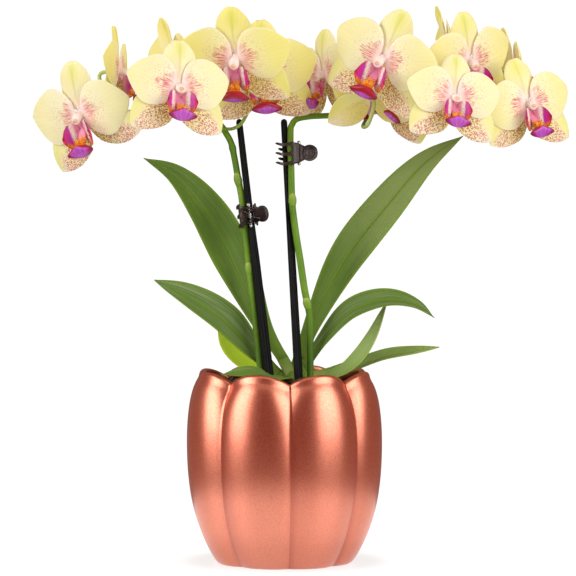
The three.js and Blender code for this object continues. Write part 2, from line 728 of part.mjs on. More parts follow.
// Side outline of a jaw, with one prong at each of the given heights, as a deep cutter.
function jawCutter(prongs, hand) {
  const rootX = -3.4;
  const body = [
    [rootX, -6.9], [0.5, -5.6], [3.5, -4.1], [clip.padAt, -4.1], [clip.padAt, 4.1],
    [3.5, 4.1], [0.5, 5.6], [rootX, 6.9],
  ];
  const half = clip.prong / 2;
  const comb = prongs.map((height) => [
    [-15, height - half / 2], [-12, height - half], [rootX + 0.5, height - half],
    [rootX + 0.5, height + half], [-12, height + half], [-15, height + half / 2],
  ]);
  const pad = Array.from({ length: 12 }, (_, side) => {
    const angle = (Math.PI * side) / 6;
    return [clip.padAt + clip.padRadius * Math.cos(angle), clip.padRadius * Math.sin(angle)];
  });
  // Each outline is drawn in X and Z, so what is drawn out from it is stood up.
  return fuse([body, pad, ...comb].map((outline) => bodyOf(
    prism(outline, clip.height).rotateX(-hand * Math.PI / 2).scale(1, 1, -hand))));
}

// A lug from the strip to the pin, at a height, with the hole that the pin runs in.
function lug(height, hand) {
  const { lug: thick, knuckle, bore } = clip;
  const arm = new THREE.BoxGeometry(2 * thick, 2 * knuckle, thick);
  return drum(knuckle, thick, 10, [0, 0, height])
    .add(bodyOf(arm.translate(0, hand * knuckle, height)))
    .subtract(drum(bore, 2 * thick, 8, [0, 0, height]));
}

function buildJaw(grip, prongs, lugs, hand) {
  const cut = jawStrip(grip, hand).intersect(jawCutter(prongs, hand));
  return fuse([cut, ...lugs.map((height) => lug(height, hand))]);
}

const spring = { wire: 0.35, radius: 1.75, length: 3.2 };

// A straight leg of the spring, from the coil to the inside of a pad.
const springLeg = (from, to) => rod(
  new THREE.LineCurve3(vec(...from), vec(...to)), () => spring.wire, 1, 6);

const springCoil = () => drum(spring.radius, spring.length, 14)
  .subtract(drum(clip.bore, 2 * spring.length, 8))
  .add(springLeg([0, 1.4, -1.2], [5.6, 4.2, -2.4]));

function buildClip(side) {
  const { at, lean, heading, grip } = clips[side];
  const { pitch } = clip;
  const group = new THREE.Group();
  group.position.set(...at);
  group.rotation.set(0, radians(lean), radians(heading), 'YXZ');
  const moving = buildJaw(grip, [-pitch, 0, pitch], [-4.4, 4.4], -1);
  const fixed = buildJaw(grip, [-pitch / 2, pitch / 2], [-2.7, 2.7], 1);
  const pin = drum(clip.pin, clip.pinLength, 12);
  const leg = springLeg([2.2, -1.2, 1.2], [5.8, -4.2, 2.4]);
  const add = (name, solid, material) => group.add(meshOf(`clip_${side}_${name}`, solid, material));
  add('jaw_fixed', fixed, finishes.clip);
  add('jaw_moving', moving, finishes.clip);
  add('pin', pin, finishes.steel);
  add('spring', springCoil(), finishes.steel);
  add('spring_leg', leg, finishes.steel);
  return group;
}

// The whole plant

const wells = [
  well(crown.x, crown.y, rootHole.radius, rootHole.floor, 16),
  ...Object.values(spikes).map(({ path: [[x, y, z]] }) => (
    well(x, y, stem.foot + 2 * clearance, z - clearance, 8))),
  ...Object.keys(sticks).map(stickHole),
];

const orchid = new THREE.Group();
orchid.add(buildPot(), buildNurseryPot(), buildBark(wells));
orchid.add(meshOf('crown', crownBody(), finishes.sheath));
const nearCrown = crownBody(clearance);
Object.keys(leafShapes).forEach((name) => orchid.add(buildLeaf(name, nearCrown)));
for (const side of ['left', 'right']) {
  orchid.add(buildSpike(side));
  orchid.add(meshOf(`stake_${side}`, buildStake(side), finishes.plastic));
  orchid.add(buildClip(side));
}
orchid.add(...Object.values(bloomGroups));

export default orchid;
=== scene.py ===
import math

import bpy
import numpy as np
from mathutils import Euler, Matrix, Vector


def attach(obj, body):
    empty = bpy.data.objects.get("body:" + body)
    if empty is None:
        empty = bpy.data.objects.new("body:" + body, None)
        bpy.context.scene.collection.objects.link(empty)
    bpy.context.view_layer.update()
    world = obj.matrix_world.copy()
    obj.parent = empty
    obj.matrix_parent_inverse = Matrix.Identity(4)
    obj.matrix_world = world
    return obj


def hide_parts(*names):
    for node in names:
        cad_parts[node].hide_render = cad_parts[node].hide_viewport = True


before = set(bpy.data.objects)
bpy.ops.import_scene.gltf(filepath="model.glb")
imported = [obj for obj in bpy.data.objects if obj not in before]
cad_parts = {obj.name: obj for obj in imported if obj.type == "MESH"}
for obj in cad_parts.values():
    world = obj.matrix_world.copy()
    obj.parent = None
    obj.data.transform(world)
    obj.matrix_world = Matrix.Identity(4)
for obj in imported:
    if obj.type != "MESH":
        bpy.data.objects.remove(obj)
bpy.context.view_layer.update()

MM = 0.001
PLANT = "plant"
radians = math.radians


# Camera and studio

LENS, FILM_WIDTH = 187.5, 36
CAMERA_AT, CAMERA_DIP = (0.0024, -1.8, 0.230), 2.08
LIGHTS_AIM = (0, 0, 0.16)


def place_camera():
    camera = bpy.data.objects.new("camera", bpy.data.cameras.new("camera"))
    camera.data.lens = LENS
    camera.data.sensor_width = FILM_WIDTH
    camera.data.clip_end = 100
    camera.location = CAMERA_AT
    camera.rotation_euler = (radians(90 - CAMERA_DIP), 0, 0)
    bpy.context.collection.objects.link(camera)
    bpy.context.scene.camera = camera


class Line:
    """The value on one socket, which an expression works on with Math nodes."""

    def __init__(self, finish, socket):
        self.finish = finish
        self.socket = socket

    def math(self, operation, *others):
        return self.finish.node(
            "Math", {"operation": operation}, dict(enumerate([self, *others])))

    def __add__(self, other):
        return self.math("ADD", other)

    def __sub__(self, other):
        return self.math("SUBTRACT", other)

    def __rsub__(self, other):
        return self.finish.node("Math", {"operation": "SUBTRACT"}, {0: other, 1: self})

    def __mul__(self, other):
        return self.math("MULTIPLY", other)

    def __truediv__(self, other):
        return self.math("DIVIDE", other)

    def __pow__(self, other):
        return self.math("POWER", other)

    def __neg__(self):
        return self.math("MULTIPLY", -1)

    def __abs__(self):
        return self.math("ABSOLUTE")

    __radd__ = __add__
    __rmul__ = __mul__

    def sin(self):
        return self.math("SINE")

    def most(self, other):
        return self.math("MAXIMUM", other)

    def between(self, low, high):
        """0 at low and 1 at high, with soft ends."""
        return self.finish.node(
            "MapRange", {"interpolation_type": "SMOOTHSTEP"}, {0: self, 1: low, 2: high})


class Finish:
    """A material built node by node, or the sky where its tree is given."""

    def __init__(self, name, tree=None):
        if tree is None:
            self.material = bpy.data.materials.new(name)
            self.material.use_nodes = True
            tree = self.material.node_tree
        self.tree = tree
        self.tree.nodes.clear()

    def node(self, kind, settings=None, sockets=None, out=0):
        made = self.tree.nodes.new("ShaderNode" + kind)
        for name, value in (settings or {}).items():
            setattr(made, name, value)
        for key, value in (sockets or {}).items():
            if isinstance(value, Line):
                self.tree.links.new(value.socket, made.inputs[key])
            else:
                made.inputs[key].default_value = value
        return Line(self, made.outputs[out]) if len(made.outputs) else made

    def split(self, vector):
        made = self.node("SeparateXYZ", None, {0: vector}).socket.node
        return [Line(self, made.outputs[axis]) for axis in range(3)]

    def stretched(self, vector, x, y, z):
        return self.node("VectorMath", {"operation": "MULTIPLY"}, {0: vector, 1: (x, y, z)})

    def marks(self):
        """How far along and across its blade a point lies, and on which face of it."""
        return self.split(self.node("Attribute", {"attribute_name": "lay"}, out="Vector"))

    def place(self, x=1, y=1, z=1):
        """Millimetres on the flat of the piece, stretched as given."""
        flat = self.node("Attribute", {"attribute_name": "place"}, out="Vector")
        return self.stretched(flat, x, y, z)

    def solid(self, scale=1, z=1):
        """Metres in the frame, scaled, and stretched upright."""
        return self.stretched(self.node("TexCoord", out="Object"), scale, scale, scale * z)

    def height(self):
        return self.split(self.solid())[2]

    def vector(self, x, y, z=0):
        return self.node("CombineXYZ", None, {0: x, 1: y, 2: z})

    def noise(self, vector, detail=2, rough=0.5):
        return self.node("TexNoise", None, {
            "Vector": vector, "Scale": 1, "Detail": detail, "Roughness": rough})

    def cells(self, vector):
        return self.node("TexVoronoi", None, {"Vector": vector, "Scale": 1})

    def mix(self, factor, low, high):
        return self.node("Mix", {"data_type": "RGBA"}, {0: factor, 6: low, 7: high}, 2)

    def paint(self, base, *coats):
        """Lays coats over a base colour, each given as how far it covers and its colour."""
        base = tinted(base)
        for cover, tint in coats:
            base = self.mix(cover, base, tinted(tint))
        return base

    def bump(self, height, distance, strength=1):
        return self.node("Bump", None, {
            "Height": height, "Distance": distance, "Strength": strength})

    def coating(self, **sockets):
        named = {name.replace("_", " "): value for name, value in sockets.items()}
        return self.node("BsdfPrincipled", None, named)

    def finished(self, shader):
        self.node("OutputMaterial", None, {0: shader})
        return self.material

    def surface(self, **sockets):
        return self.finished(self.coating(**sockets))


def colour(red, green, blue):
    """A colour given as it looks on a screen, from 0 to 255."""
    def linear(value):
        share = value / 255
        return share / 12.92 if share <= 0.04045 else ((share + 0.055) / 1.055) ** 2.4
    return (linear(red), linear(green), linear(blue), 1)


def tinted(value):
    return value if isinstance(value, Line) else colour(*value)


def build_studio():
    """A white room to the camera, and a dim one to everything that the boxes don't light."""
    bpy.context.scene.view_settings.view_transform = "Standard"
    bpy.context.scene.view_settings.look = "None"
    world = bpy.data.worlds.new("studio")
    world.use_nodes = True
    bpy.context.scene.world = world
    sky = Finish("sky", world.node_tree)
    _, back, up = sky.split(sky.node("TexCoord", out="Generated"))
    lit = 0.09 + 0.14 * back.between(-0.2, 0.5) + 0.13 * up.between(0.55, 0.95)
    seen = sky.node("LightPath", out="Is Camera Ray")
    ground = sky.node("Background", None, {
        0: sky.mix(seen, (1, 0.74, 0.6, 1), (1, 1, 1, 1)), 1: lit * (1 - seen) + seen * 1.05})
    sky.node("OutputWorld", None, {0: ground})


def softbox(name, azimuth, height, distance, size, watts, mirrored=True):
    """A soft light that stands round the plant at an azimuth, and looks at it."""
    lamp = bpy.data.lights.new(name, "AREA")
    lamp.shape = "RECTANGLE"
    lamp.size, lamp.size_y = size
    lamp.energy = watts
    box = bpy.data.objects.new(name, lamp)
    turn = radians(azimuth)
    stand = Vector((distance * math.cos(turn), distance * math.sin(turn), height))
    box.location = stand
    box.rotation_euler = (Vector(LIGHTS_AIM) - stand).to_track_quat("-Z", "Y").to_euler()
    box.visible_glossy = mirrored
    bpy.context.collection.objects.link(box)


place_camera()
build_studio()
softbox("left_box", -157, 0.69, 1.5, (1.15, 1.4), 21)
softbox("right_box", -34.5, 0.69, 1.5, (1.4, 1.4), 22)
softbox("top_box", -90, 1.9, 0.9, (1.6, 0.7), 3)
softbox("low_box", -76, -0.8, 1.1, (1.4, 0.8), 4)
softbox("fill_box", -96, 0.4, 1.7, (1.4, 1.4), 6.5, mirrored=False)


# Curves and blades

class Curve:
    """A smooth curve through points."""

    def __init__(self, points):
        self.points = np.array(points, float)
        self.steps = np.linspace(0, 1, 401)
        lengths = np.linalg.norm(np.diff(self.point(self.steps), axis=0), axis=1)
        self.length = lengths.sum()
        self.run = np.concatenate([[0], np.cumsum(lengths)]) / self.length

    def point(self, t):
        """The place at t. Uneven points make no loop between them."""
        points = self.points
        last = len(points) - 1
        place = np.clip(np.asarray(t, float), 0, 1) * last
        k = np.minimum(place.astype(int), last - 1)
        w = (place - k)[..., None]
        before, after = 2 * points[0] - points[1], 2 * points[-1] - points[-2]
        run = np.vstack([before, points, after])
        p0, p1, p2, p3 = run[k], run[k + 1], run[k + 2], run[k + 3]
        d0, d1, d2 = (np.maximum(np.linalg.norm(b - a, axis=-1, keepdims=True), 1e-8) ** 0.5
                      for a, b in ((p0, p1), (p1, p2), (p2, p3)))
        m1 = ((p1 - p0) / d0 - (p2 - p0) / (d0 + d1) + (p2 - p1) / d1) * d1
        m2 = ((p2 - p1) / d1 - (p3 - p1) / (d1 + d2) + (p3 - p2) / d2) * d1
        return (p1 + m1 * w + (3 * (p2 - p1) - 2 * m1 - m2) * w ** 2
                + (2 * (p1 - p2) + m1 + m2) * w ** 3)

    def at(self, share):
        return self.point(np.interp(share, self.run, self.steps))

    def forward(self, share):
        share = np.asarray(share, float)
        step = 1e-3
        way = self.at(np.minimum(share + step, 1)) - self.at(np.maximum(share - step, 0))
        return way / np.linalg.norm(way, axis=-1, keepdims=True)


def unit(vectors):
    return vectors / np.maximum(np.linalg.norm(vectors, axis=-1, keepdims=True), 1e-9)


def smooth(value, low, high):
    share = np.clip((value - low) / (high - low), 0, 1)
    return share * share * (3 - 2 * share)


def mix(a, b, share):
    return a + (b - a) * share


def round_angles(sides):
    return np.linspace(0, 2 * np.pi, sides, endpoint=False)


def ring_at(angle, wide, deep, z):
    """Points round the upright axis, at angles."""
    return np.stack([wide * np.cos(angle), deep * np.sin(angle), z + 0 * angle], axis=1)


def rounded(place, power, least):
    """1 in the middle of a blade, and less towards its edge."""
    return np.sqrt(np.maximum(1 - place ** power, least))


def on_flat(x, y, seed):
    """Where points lie on the flat of a blade, in millimetres, and the seed of its marks."""
    return np.stack([x, y, np.full(x.shape, float(seed))], axis=-1)


class Part:
    """Points in millimetres, faces, and two marks at each point for the finishes."""

    def __init__(self, points, faces, lay, place=None):
        self.points = points
        self.faces = faces
        self.lay = lay
        self.place = points if place is None else place
        if self.volume() < 0:
            self.faces = [face[::-1] for face in faces]

    def volume(self):
        corners = np.array([
            (f[0], f[k], f[k + 1]) for f in self.faces for k in range(1, len(f) - 1)])
        a, b, c = (self.points[corners[:, k]] for k in range(3))
        return np.einsum("ij,ij->", a, np.cross(b, c))

    def moved(self, matrix):
        points = self.points @ np.array(matrix.to_3x3()).T + np.array(matrix.translation)
        return Part(points, self.faces, self.lay, self.place)


def skin(rings, caps=True, along=None):
    """A body through rings of points, each ring closed."""
    rings = np.asarray(rings)
    count, sides = rings.shape[:2]
    faces = []
    for ring in range(count - 1):
        for side in range(sides):
            a, b = ring * sides + side, ring * sides + (side + 1) % sides
            faces.append((a, b, b + sides, a + sides))
    if caps:
        faces.append(tuple(range(sides))[::-1])
        faces.append(tuple(range((count - 1) * sides, count * sides)))
    share = np.linspace(0, 1, count) if along is None else along
    angle = np.linspace(-1, 1, sides, endpoint=False)
    lay = np.stack([
        np.repeat(share, sides), np.tile(angle, count), np.ones(count * sides)], axis=1)
    return Part(rings.reshape(-1, 3), faces, lay)


def crosswise(ways):
    """Two directions across each way along a curve, without a twist."""
    first = np.cross(ways[0], (0.13, 0.97, 0.21))
    across = [first / np.linalg.norm(first)]
    for way in ways[1:]:
        turned = across[-1] - way * np.dot(across[-1], way)
        across.append(turned / np.linalg.norm(turned))
    across = np.array(across)
    return across, np.cross(ways, across)


def tube(curve, radius_at, steps, sides, groove=0, ridges=0):
    """A rod along a curve, with rounded ends, and with ridges along it where they are given."""
    share = np.linspace(0, 1, steps + 1)
    centres, ways = curve.at(share), curve.forward(share)
    radii = np.array([radius_at(t) for t in share])
    # Two smaller rings beyond each end round it off.
    turn = np.radians([40, 75])
    out, thin = np.sin(turn)[:, None], np.cos(turn)
    centres = np.vstack([
        (centres[0] - ways[0] * radii[0] * out)[::-1], centres,
        centres[-1] + ways[-1] * radii[-1] * out])
    ways = np.vstack([ways[[0, 0]], ways, ways[[-1, -1]]])
    radii = np.concatenate([radii[0] * thin[::-1], radii, radii[-1] * thin])
    share = np.concatenate([[0, 0], share, [1, 1]])
    across, up = crosswise(ways)
    angle = round_angles(sides)
    cut = 1 - groove * (0.5 - 0.5 * np.cos(angle * ridges))
    rings = centres[:, None] + radii[:, None, None] * cut[None, :, None] * (
        np.cos(angle)[None, :, None] * across[:, None]
        + np.sin(angle)[None, :, None] * up[:, None])
    return skin(rings, along=share)


def blade(middle, thickness, stations, lanes, place):
    """A thin body about a middle surface, which is given at t along and s across it."""
    s = np.sin(np.linspace(-1, 1, lanes + 1) * np.pi / 2)
    along, across = np.meshgrid(stations, s, indexing="ij")
    surface = middle(along, across)
    normal = unit(np.cross(np.gradient(surface, axis=0), np.gradient(surface, axis=1)))
    half = thickness(along, across)[..., None] / 2
    flat = place(along, across)
    rows, row = len(stations), lanes + 1
    points = np.concatenate([
        (surface + normal * half).reshape(-1, 3), (surface - normal * half).reshape(-1, 3)])
    face = np.concatenate([np.ones(rows * row), -np.ones(rows * row)])
    lay = np.stack([np.tile(along.ravel(), 2), np.tile(across.ravel(), 2), face], axis=1)
    back = rows * row
    faces = []
    for i in range(rows - 1):
        for j in range(lanes):
            a = i * row + j
            quad = (a, a + 1, a + row + 1, a + row)
            faces.append(quad)
            faces.append(tuple(back + k for k in quad[::-1]))
    # One strip of faces closes the edge all round.
    border = (list(range(lanes)) + [i * row + lanes for i in range(rows - 1)]
              + [(rows - 1) * row + j for j in range(lanes, 0, -1)]
              + [i * row for i in range(rows - 1, 0, -1)])
    for a, b in zip(border, border[1:] + border[:1]):
        faces.append((a, a + back, b + back, b))
    return Part(points, faces, lay, np.tile(flat.reshape(-1, 3), (2, 1)))


def ball(centre, radii):
    tilts = np.linspace(-np.pi / 2 + 0.12, np.pi / 2 - 0.12, 10)
    rings = [ring_at(round_angles(14), np.cos(tilt), np.cos(tilt), np.sin(tilt)) for tilt in tilts]
    return skin(np.array(rings) * radii + centre)


def make(name, parts, finishes, nodes, body=PLANT, sharp=None):
    """One piece from its parts, each given with the number of its finish."""
    points = np.concatenate([part.points for part, _ in parts]) * MM
    faces, numbers, base = [], [], 0
    for part, number in parts:
        faces += [tuple(base + k for k in face) for face in part.faces]
        numbers += [number] * len(part.faces)
        base += len(part.points)
    mesh = bpy.data.meshes.new(name)
    mesh.from_pydata(points.tolist(), [], faces)
    for finish in finishes:
        mesh.materials.append(finish)
    mesh.polygons.foreach_set("material_index", numbers)
    mesh.shade_smooth()
    if sharp:
        mesh.set_sharp_from_angle(angle=radians(sharp))
    for mark in ("lay", "place"):
        values = np.concatenate([getattr(part, mark) for part, _ in parts])
        mesh.attributes.new(mark, "FLOAT_VECTOR", "POINT").data.foreach_set(
            "vector", values.astype(np.float32).ravel())
    piece = bpy.data.objects.new(name, mesh)
    bpy.context.collection.objects.link(piece)
    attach(piece, body)
    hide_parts(*nodes)
    return piece


# Finishes

LOBES = 8
LEAF_FLESH, STALK_FLESH = (0.6, 1.0, 0.2), (0.7, 1.0, 0.3)
PETAL_FLESH, COLUMN_FLESH = (1.0, 0.85, 0.4), (1.0, 0.6, 0.5)
LOBE_FLESH, TONGUE_FLESH = (1.0, 0.4, 0.5), (1.0, 0.4, 0.6)
SHADE_FROM, SHADE_TO = 0.048, 0.084


def flesh(weight, passes, depth):
    """How much light enters a soft piece, how much of each colour it passes, and how deep."""
    return dict(Subsurface_Weight=weight, Subsurface_Radius=passes, Subsurface_Scale=depth)


def copper_finish():
    """Satin copper lacquer: bright flakes over a red pigment, under a clear coat, with painted shade
    in the creases and towards the foot.
    """
    f = Finish("copper_glaze")
    _, round_pot, _ = f.marks()
    past_groove = ((round_pot + 1) * (LOBES / 2)).math("FRACT")
    # Painted shade: the creases between the lobes are painted darker, most on one side of each.
    groove = past_groove.between(0.13, 0.0).most(past_groove.between(0.93, 1.0) * 0.35)
    low = f.height().between(0.07, 0.03)
    grain = f.noise(f.solid(1150), 3, 0.6)
    flake = f.cells(f.solid(1250))
    cloud = f.noise(f.solid(24), 3, 0.6)
    base = f.paint(
        (240, 149, 118),
        (cloud.between(0.3, 0.7), (236, 140, 110)),
        (grain.between(0.42, 0.68) * (0.35 - 0.12 * low), (170, 58, 32)),
        (flake.between(0.3, 0.1) * 0.55, (255, 212, 186)),
        # Painted shade in each crease, stronger towards the foot, and a wider painted shade beside the
        # crease low down.
        (groove * (0.35 + 0.2 * low), (150, 52, 32)),
        (past_groove.between(0.45, 0.0) * low * 0.25, (180, 78, 54)),
        # Painted shade: towards the foot the copper is painted darker and paler.
        (low * 0.42, (192, 128, 106)))
    relief = f.bump(grain + 0.5 * flake, 0.00005, 0.35)
    flakes = f.coating(
        Base_Color=base, Metallic=1.0, Roughness=0.28 + 0.1 * grain,
        Coat_Weight=0.6, Coat_Roughness=0.3, Coat_IOR=1.6, Normal=relief)
    pigment = f.coating(
        Base_Color=f.paint((206, 40, 10), (grain, (188, 30, 6))), Roughness=0.6,
        Specular_IOR_Level=0.1, Normal=relief)
    return f.finished(f.node("MixShader", None, {0: 0.16, 1: flakes, 2: pigment}))


def nursery_finish():
    f = Finish("nursery_plastic")
    haze = f.noise(f.solid(120), 3)
    return f.surface(
        Base_Color=f.paint((28, 27, 26), (haze, (48, 45, 42))),
        Roughness=0.42 + 0.2 * haze, Normal=f.bump(haze, 0.0003, 0.3))


def bark_finish():
    f = Finish("pine_bark")
    _, _, turn = f.marks()
    patch = f.noise(f.solid(160), 5, 0.65)
    layers = f.noise(f.solid(240, z=3.5), 3, 0.6)
    base = f.paint(
        (34, 24, 19),
        ((0.6 * patch + 0.4 * layers).between(0.32, 0.68), (96, 68, 48)),
        (turn.between(0.3, 1) * 0.5, (58, 38, 27)))
    return f.surface(
        Base_Color=base, Roughness=0.85 + 0.1 * patch,
        Normal=f.bump(patch + 0.6 * layers, 0.0012, 0.8))


def leaf_finish(name, green, deep, rib, margin, glow):
    """Streaks run along the blade; the midrib is painted dark as shade between flanks painted light as
    a highlight, the edge is bright, and paler leaves get a greyish painted sheen.
    """
    f = Finish(name)
    along, across, face = f.marks()
    side = abs(across)
    under = (-face).between(0, 0.5)
    veins = f.noise(f.vector(across * 17, along * 1.8), 3, 0.6)
    fine = (across * 80 + 3 * veins).sin() * 0.5 + 0.5
    cloud = f.noise(f.place(0.05, 0.025), 4, 0.6)
    # The leaf's tone sets how deep its green is and how much painted sheen it gets: pale is a painted
    # sheen over the upper blade, and fold_sheen a painted sheen in soft bands along the folds.
    tone = abs(face) - 1
    pale = tone.between(0.5, 1) * along.between(0.3, 0.65) * along.between(1.15, 0.85)
    dark = tone.between(0.5, 0)
    fold_sheen = veins.between(0.4, 0.65) * side.between(0.1, 0.35) * side.between(0.95, 0.6)
    base = f.paint(
        green,
        (cloud.between(0.3, 0.7), deep),
        (dark * 0.65, (36, 66, 14)),
        (veins.between(0.45, 0.7) * 0.3, rib),
        (veins.between(0.5, 0.3) * 0.3, deep),
        (fine * 0.08, rib),
        # Painted sheen: a greyish green on the upper blade of paler leaves, and in soft bands along
        # the folds.
        (pale * 0.75, (170, 190, 112)),
        (fold_sheen * (0.1 + 0.45 * dark + 0.3 * pale), (158, 170, 134)),
        # Painted highlight on the flanks of the midrib, and painted shade in its groove.
        (side.between(0.2, 0.06) * 0.4, rib),
        (side.between(0.055, 0.01) * 0.45, deep),
        (side.between(0.8, 1.0) * 0.6, margin),
        (along.between(0.25, 0.02) * 0.4, margin),
        (under * 0.3, rib))
    bumps = 0.2 * fine + 1.2 * veins - 1.8 * side.between(0.08, 0)
    return f.surface(
        Base_Color=base, Roughness=0.34 + 0.1 * cloud + 0.2 * under, Specular_IOR_Level=0.35,
        Emission_Color=base, Emission_Strength=glow, Normal=f.bump(bumps, 0.0003, 0.5),
        **flesh(0.08, LEAF_FLESH, 0.0008))


def sheath_finish():
    f = Finish("leaf_sheath")
    along, across, _ = f.marks()
    streak = f.noise(f.vector(across * 22, along * 1.5), 3)
    base = f.paint(
        (178, 190, 108),
        (along.between(0.2, 0.95), (132, 164, 62)),
        (streak.between(0.4, 0.75) * 0.45, (104, 138, 48)))
    return f.surface(
        Base_Color=base, Roughness=0.42 + 0.1 * streak, Normal=f.bump(streak, 0.0003, 0.5),
        **flesh(0.1, LEAF_FLESH, 0.001))


def stem_finish():
    f = Finish("stem_green")
    along, across, _ = f.marks()
    streak = f.noise(f.vector(across * 7, along * 60), 3, 0.6)
    fleck = f.noise(f.solid(700))
    cloud = f.noise(f.solid(35))
    base = f.paint(
        (92, 132, 22),
        (cloud.between(0.35, 0.65), (120, 158, 36)),
        (streak.between(0.5, 0.75) * 0.4, (78, 104, 24)),
        (fleck.between(0.62, 0.75) * 0.3, (160, 186, 80)),
        (f.height().between(0.2, 0.12) * 0.55, (48, 84, 16)))
    return f.surface(
        Base_Color=base, Roughness=0.38 + 0.2 * streak, Specular_IOR_Level=0.35,
        Normal=f.bump(streak + fleck, 0.0002, 0.4), **flesh(0.06, LEAF_FLESH, 0.0008))


def stalk_finish():
    f = Finish("stalk_green")
    along, across, _ = f.marks()
    streak = f.noise(f.vector(across * 8, along * 14), 3, 0.6)
    base = f.paint(
        (138, 168, 62),
        (along.between(0.1, 0.9), (196, 208, 116)),
        (streak.between(0.45, 0.75) * 0.35, (112, 146, 46)))
    return f.surface(
        Base_Color=base, Roughness=0.45, Normal=f.bump(streak, 0.0002, 0.4),
        **flesh(0.12, STALK_FLESH, 0.0008))


def bract_finish():
    f = Finish("bract_green")
    along, across, _ = f.marks()
    streak = (across * 30).sin() * 0.5 + 0.5
    base = f.paint(
        (124, 158, 42), (along.between(0.3, 0.95), (184, 194, 90)), (streak * 0.25, (104, 138, 40)))
    return f.surface(Base_Color=base, Roughness=0.45, Normal=f.bump(streak, 0.0002, 0.4))


def stake_finish():
    f = Finish("stake_plastic")
    grain = f.noise(f.solid(900, z=0.2), 3, 0.6)
    dust = f.noise(f.solid(60), 4, 0.6)
    return f.surface(
        Base_Color=f.paint((4, 4, 5), (dust.between(0.4, 0.75) * 0.4, (13, 13, 14))),
        Roughness=0.4 + 0.2 * grain, Specular_IOR_Level=0.16, Normal=f.bump(grain, 0.0001, 0.4))


def clip_finish():
    f = Finish("clip_plastic")
    haze = f.noise(f.solid(500), 3)
    swirl = f.noise(f.solid(90))
    return f.surface(
        Base_Color=f.paint((36, 23, 21), (swirl.between(0.35, 0.7), (66, 45, 41))),
        Roughness=0.3 + 0.2 * haze, Coat_Weight=0.25, Coat_Roughness=0.15,
        Normal=f.bump(haze, 0.0001, 0.25))


def steel_finish():
    f = Finish("spring_steel")
    along, across, _ = f.marks()
    drawn = f.noise(f.vector(across * 40, along * 3))
    return f.surface(
        Base_Color=f.paint((176, 176, 180), (drawn, (226, 226, 230))), Metallic=1,
        Roughness=0.16 + 0.18 * drawn, Normal=f.bump(drawn, 0.00004, 0.4))


def petal_pattern(f):
    """Where a point lies on a tepal: its angle from the middle line and its distance in mm."""
    wide, reach, seed = f.split(f.place())
    return wide / (reach + 3), reach, seed


def petal_ground(f, strength):
    """Pale yellow, creamier at the base and the edge, with fine veins that spread out."""
    along, across, face = f.marks()
    slope, _, _ = petal_pattern(f)
    cloud = f.noise(f.place(0.09, 0.06), 3)
    outward = along.between(0.1, 0.75)
    pale = f.paint((249, 237, 208), (outward, (246, 233, 188)))
    yellow = f.paint((247, 236, 180), (outward, (244, 229, 128)))
    vein = (1 - abs((slope * 34 + 2 * cloud).sin())) ** 3
    base = f.paint(
        pale,
        (abs(face) - 1, yellow),
        (cloud.between(0.35, 0.7) * 0.2, (236, 222, 138)),
        (vein * 0.16 * strength, (222, 208, 110)),
        (abs(across).between(0.86, 1) * 0.5, (252, 240, 206)))
    return base, vein, cloud


def petal_marks(f, base, amount):
    """Broken pink rays round the claw, small dots beyond, and a pale flushed base."""
    _, _, face = f.marks()
    slope, reach, seed = petal_pattern(f)
    front = 0.15 + 0.85 * face.between(-0.5, 0.5)
    wander = f.noise(f.place(0.3, 0.3))
    far = reach + 9 * (wander - 0.5) + 9 * abs(slope)
    lines = f.noise(f.vector(slope * 32 + 1.5 * wander, reach * 0.24, seed), 1)
    near = far.between(18, 7)
    ray = (lines + near * 0.1).between(0.54, 0.64) * near.between(0.05, 0.5)
    dots = f.cells(f.place(1.05, 0.85)).between(0.31, 0.18) * far.between(26, 14)
    return f.paint(
        base,
        (far.between(15, 6) * 0.4 * amount, (240, 150, 164)),
        ((ray * 0.8).most(dots * 0.6) * amount * front, (212, 76, 104)),
        (reach.between(8, 3) * 0.85, (252, 232, 222)))


def petal_surface(f, base, relief):
    # The tepals glow faintly: painted light that evens out their shading.
    return f.surface(
        Base_Color=base, Roughness=0.55, Sheen_Weight=0.05, Emission_Color=base,
        Emission_Strength=0.06, Normal=f.bump(relief, 0.0004, 0.3),
        **flesh(0.5, PETAL_FLESH, 0.0016))


def petal_finish():
    f = Finish("petal_skin")
    base, vein, cloud = petal_ground(f, 1)
    return petal_surface(f, petal_marks(f, base, 1), cloud - 0.25 * vein)


def sepal_finish():
    """The upper sepal: a greener band along its middle that widens to the tip."""
    f = Finish("sepal_skin")
    base, vein, cloud = petal_ground(f, 1.6)
    along, across, _ = f.marks()
    side = abs(across)
    band = side.between(0.62, 0.05) * along.between(0.35, 0.85) * along.between(1.05, 0.85)
    line = side.between(0.12, 0.02) * along.between(0.1, 0.3) * along.between(0.95, 0.7)
    base = f.paint(base, (band * 0.55, (214, 214, 72)), (line * 0.35, (196, 196, 70)))
    return petal_surface(f, petal_marks(f, base, 0.18), cloud - 0.25 * vein)


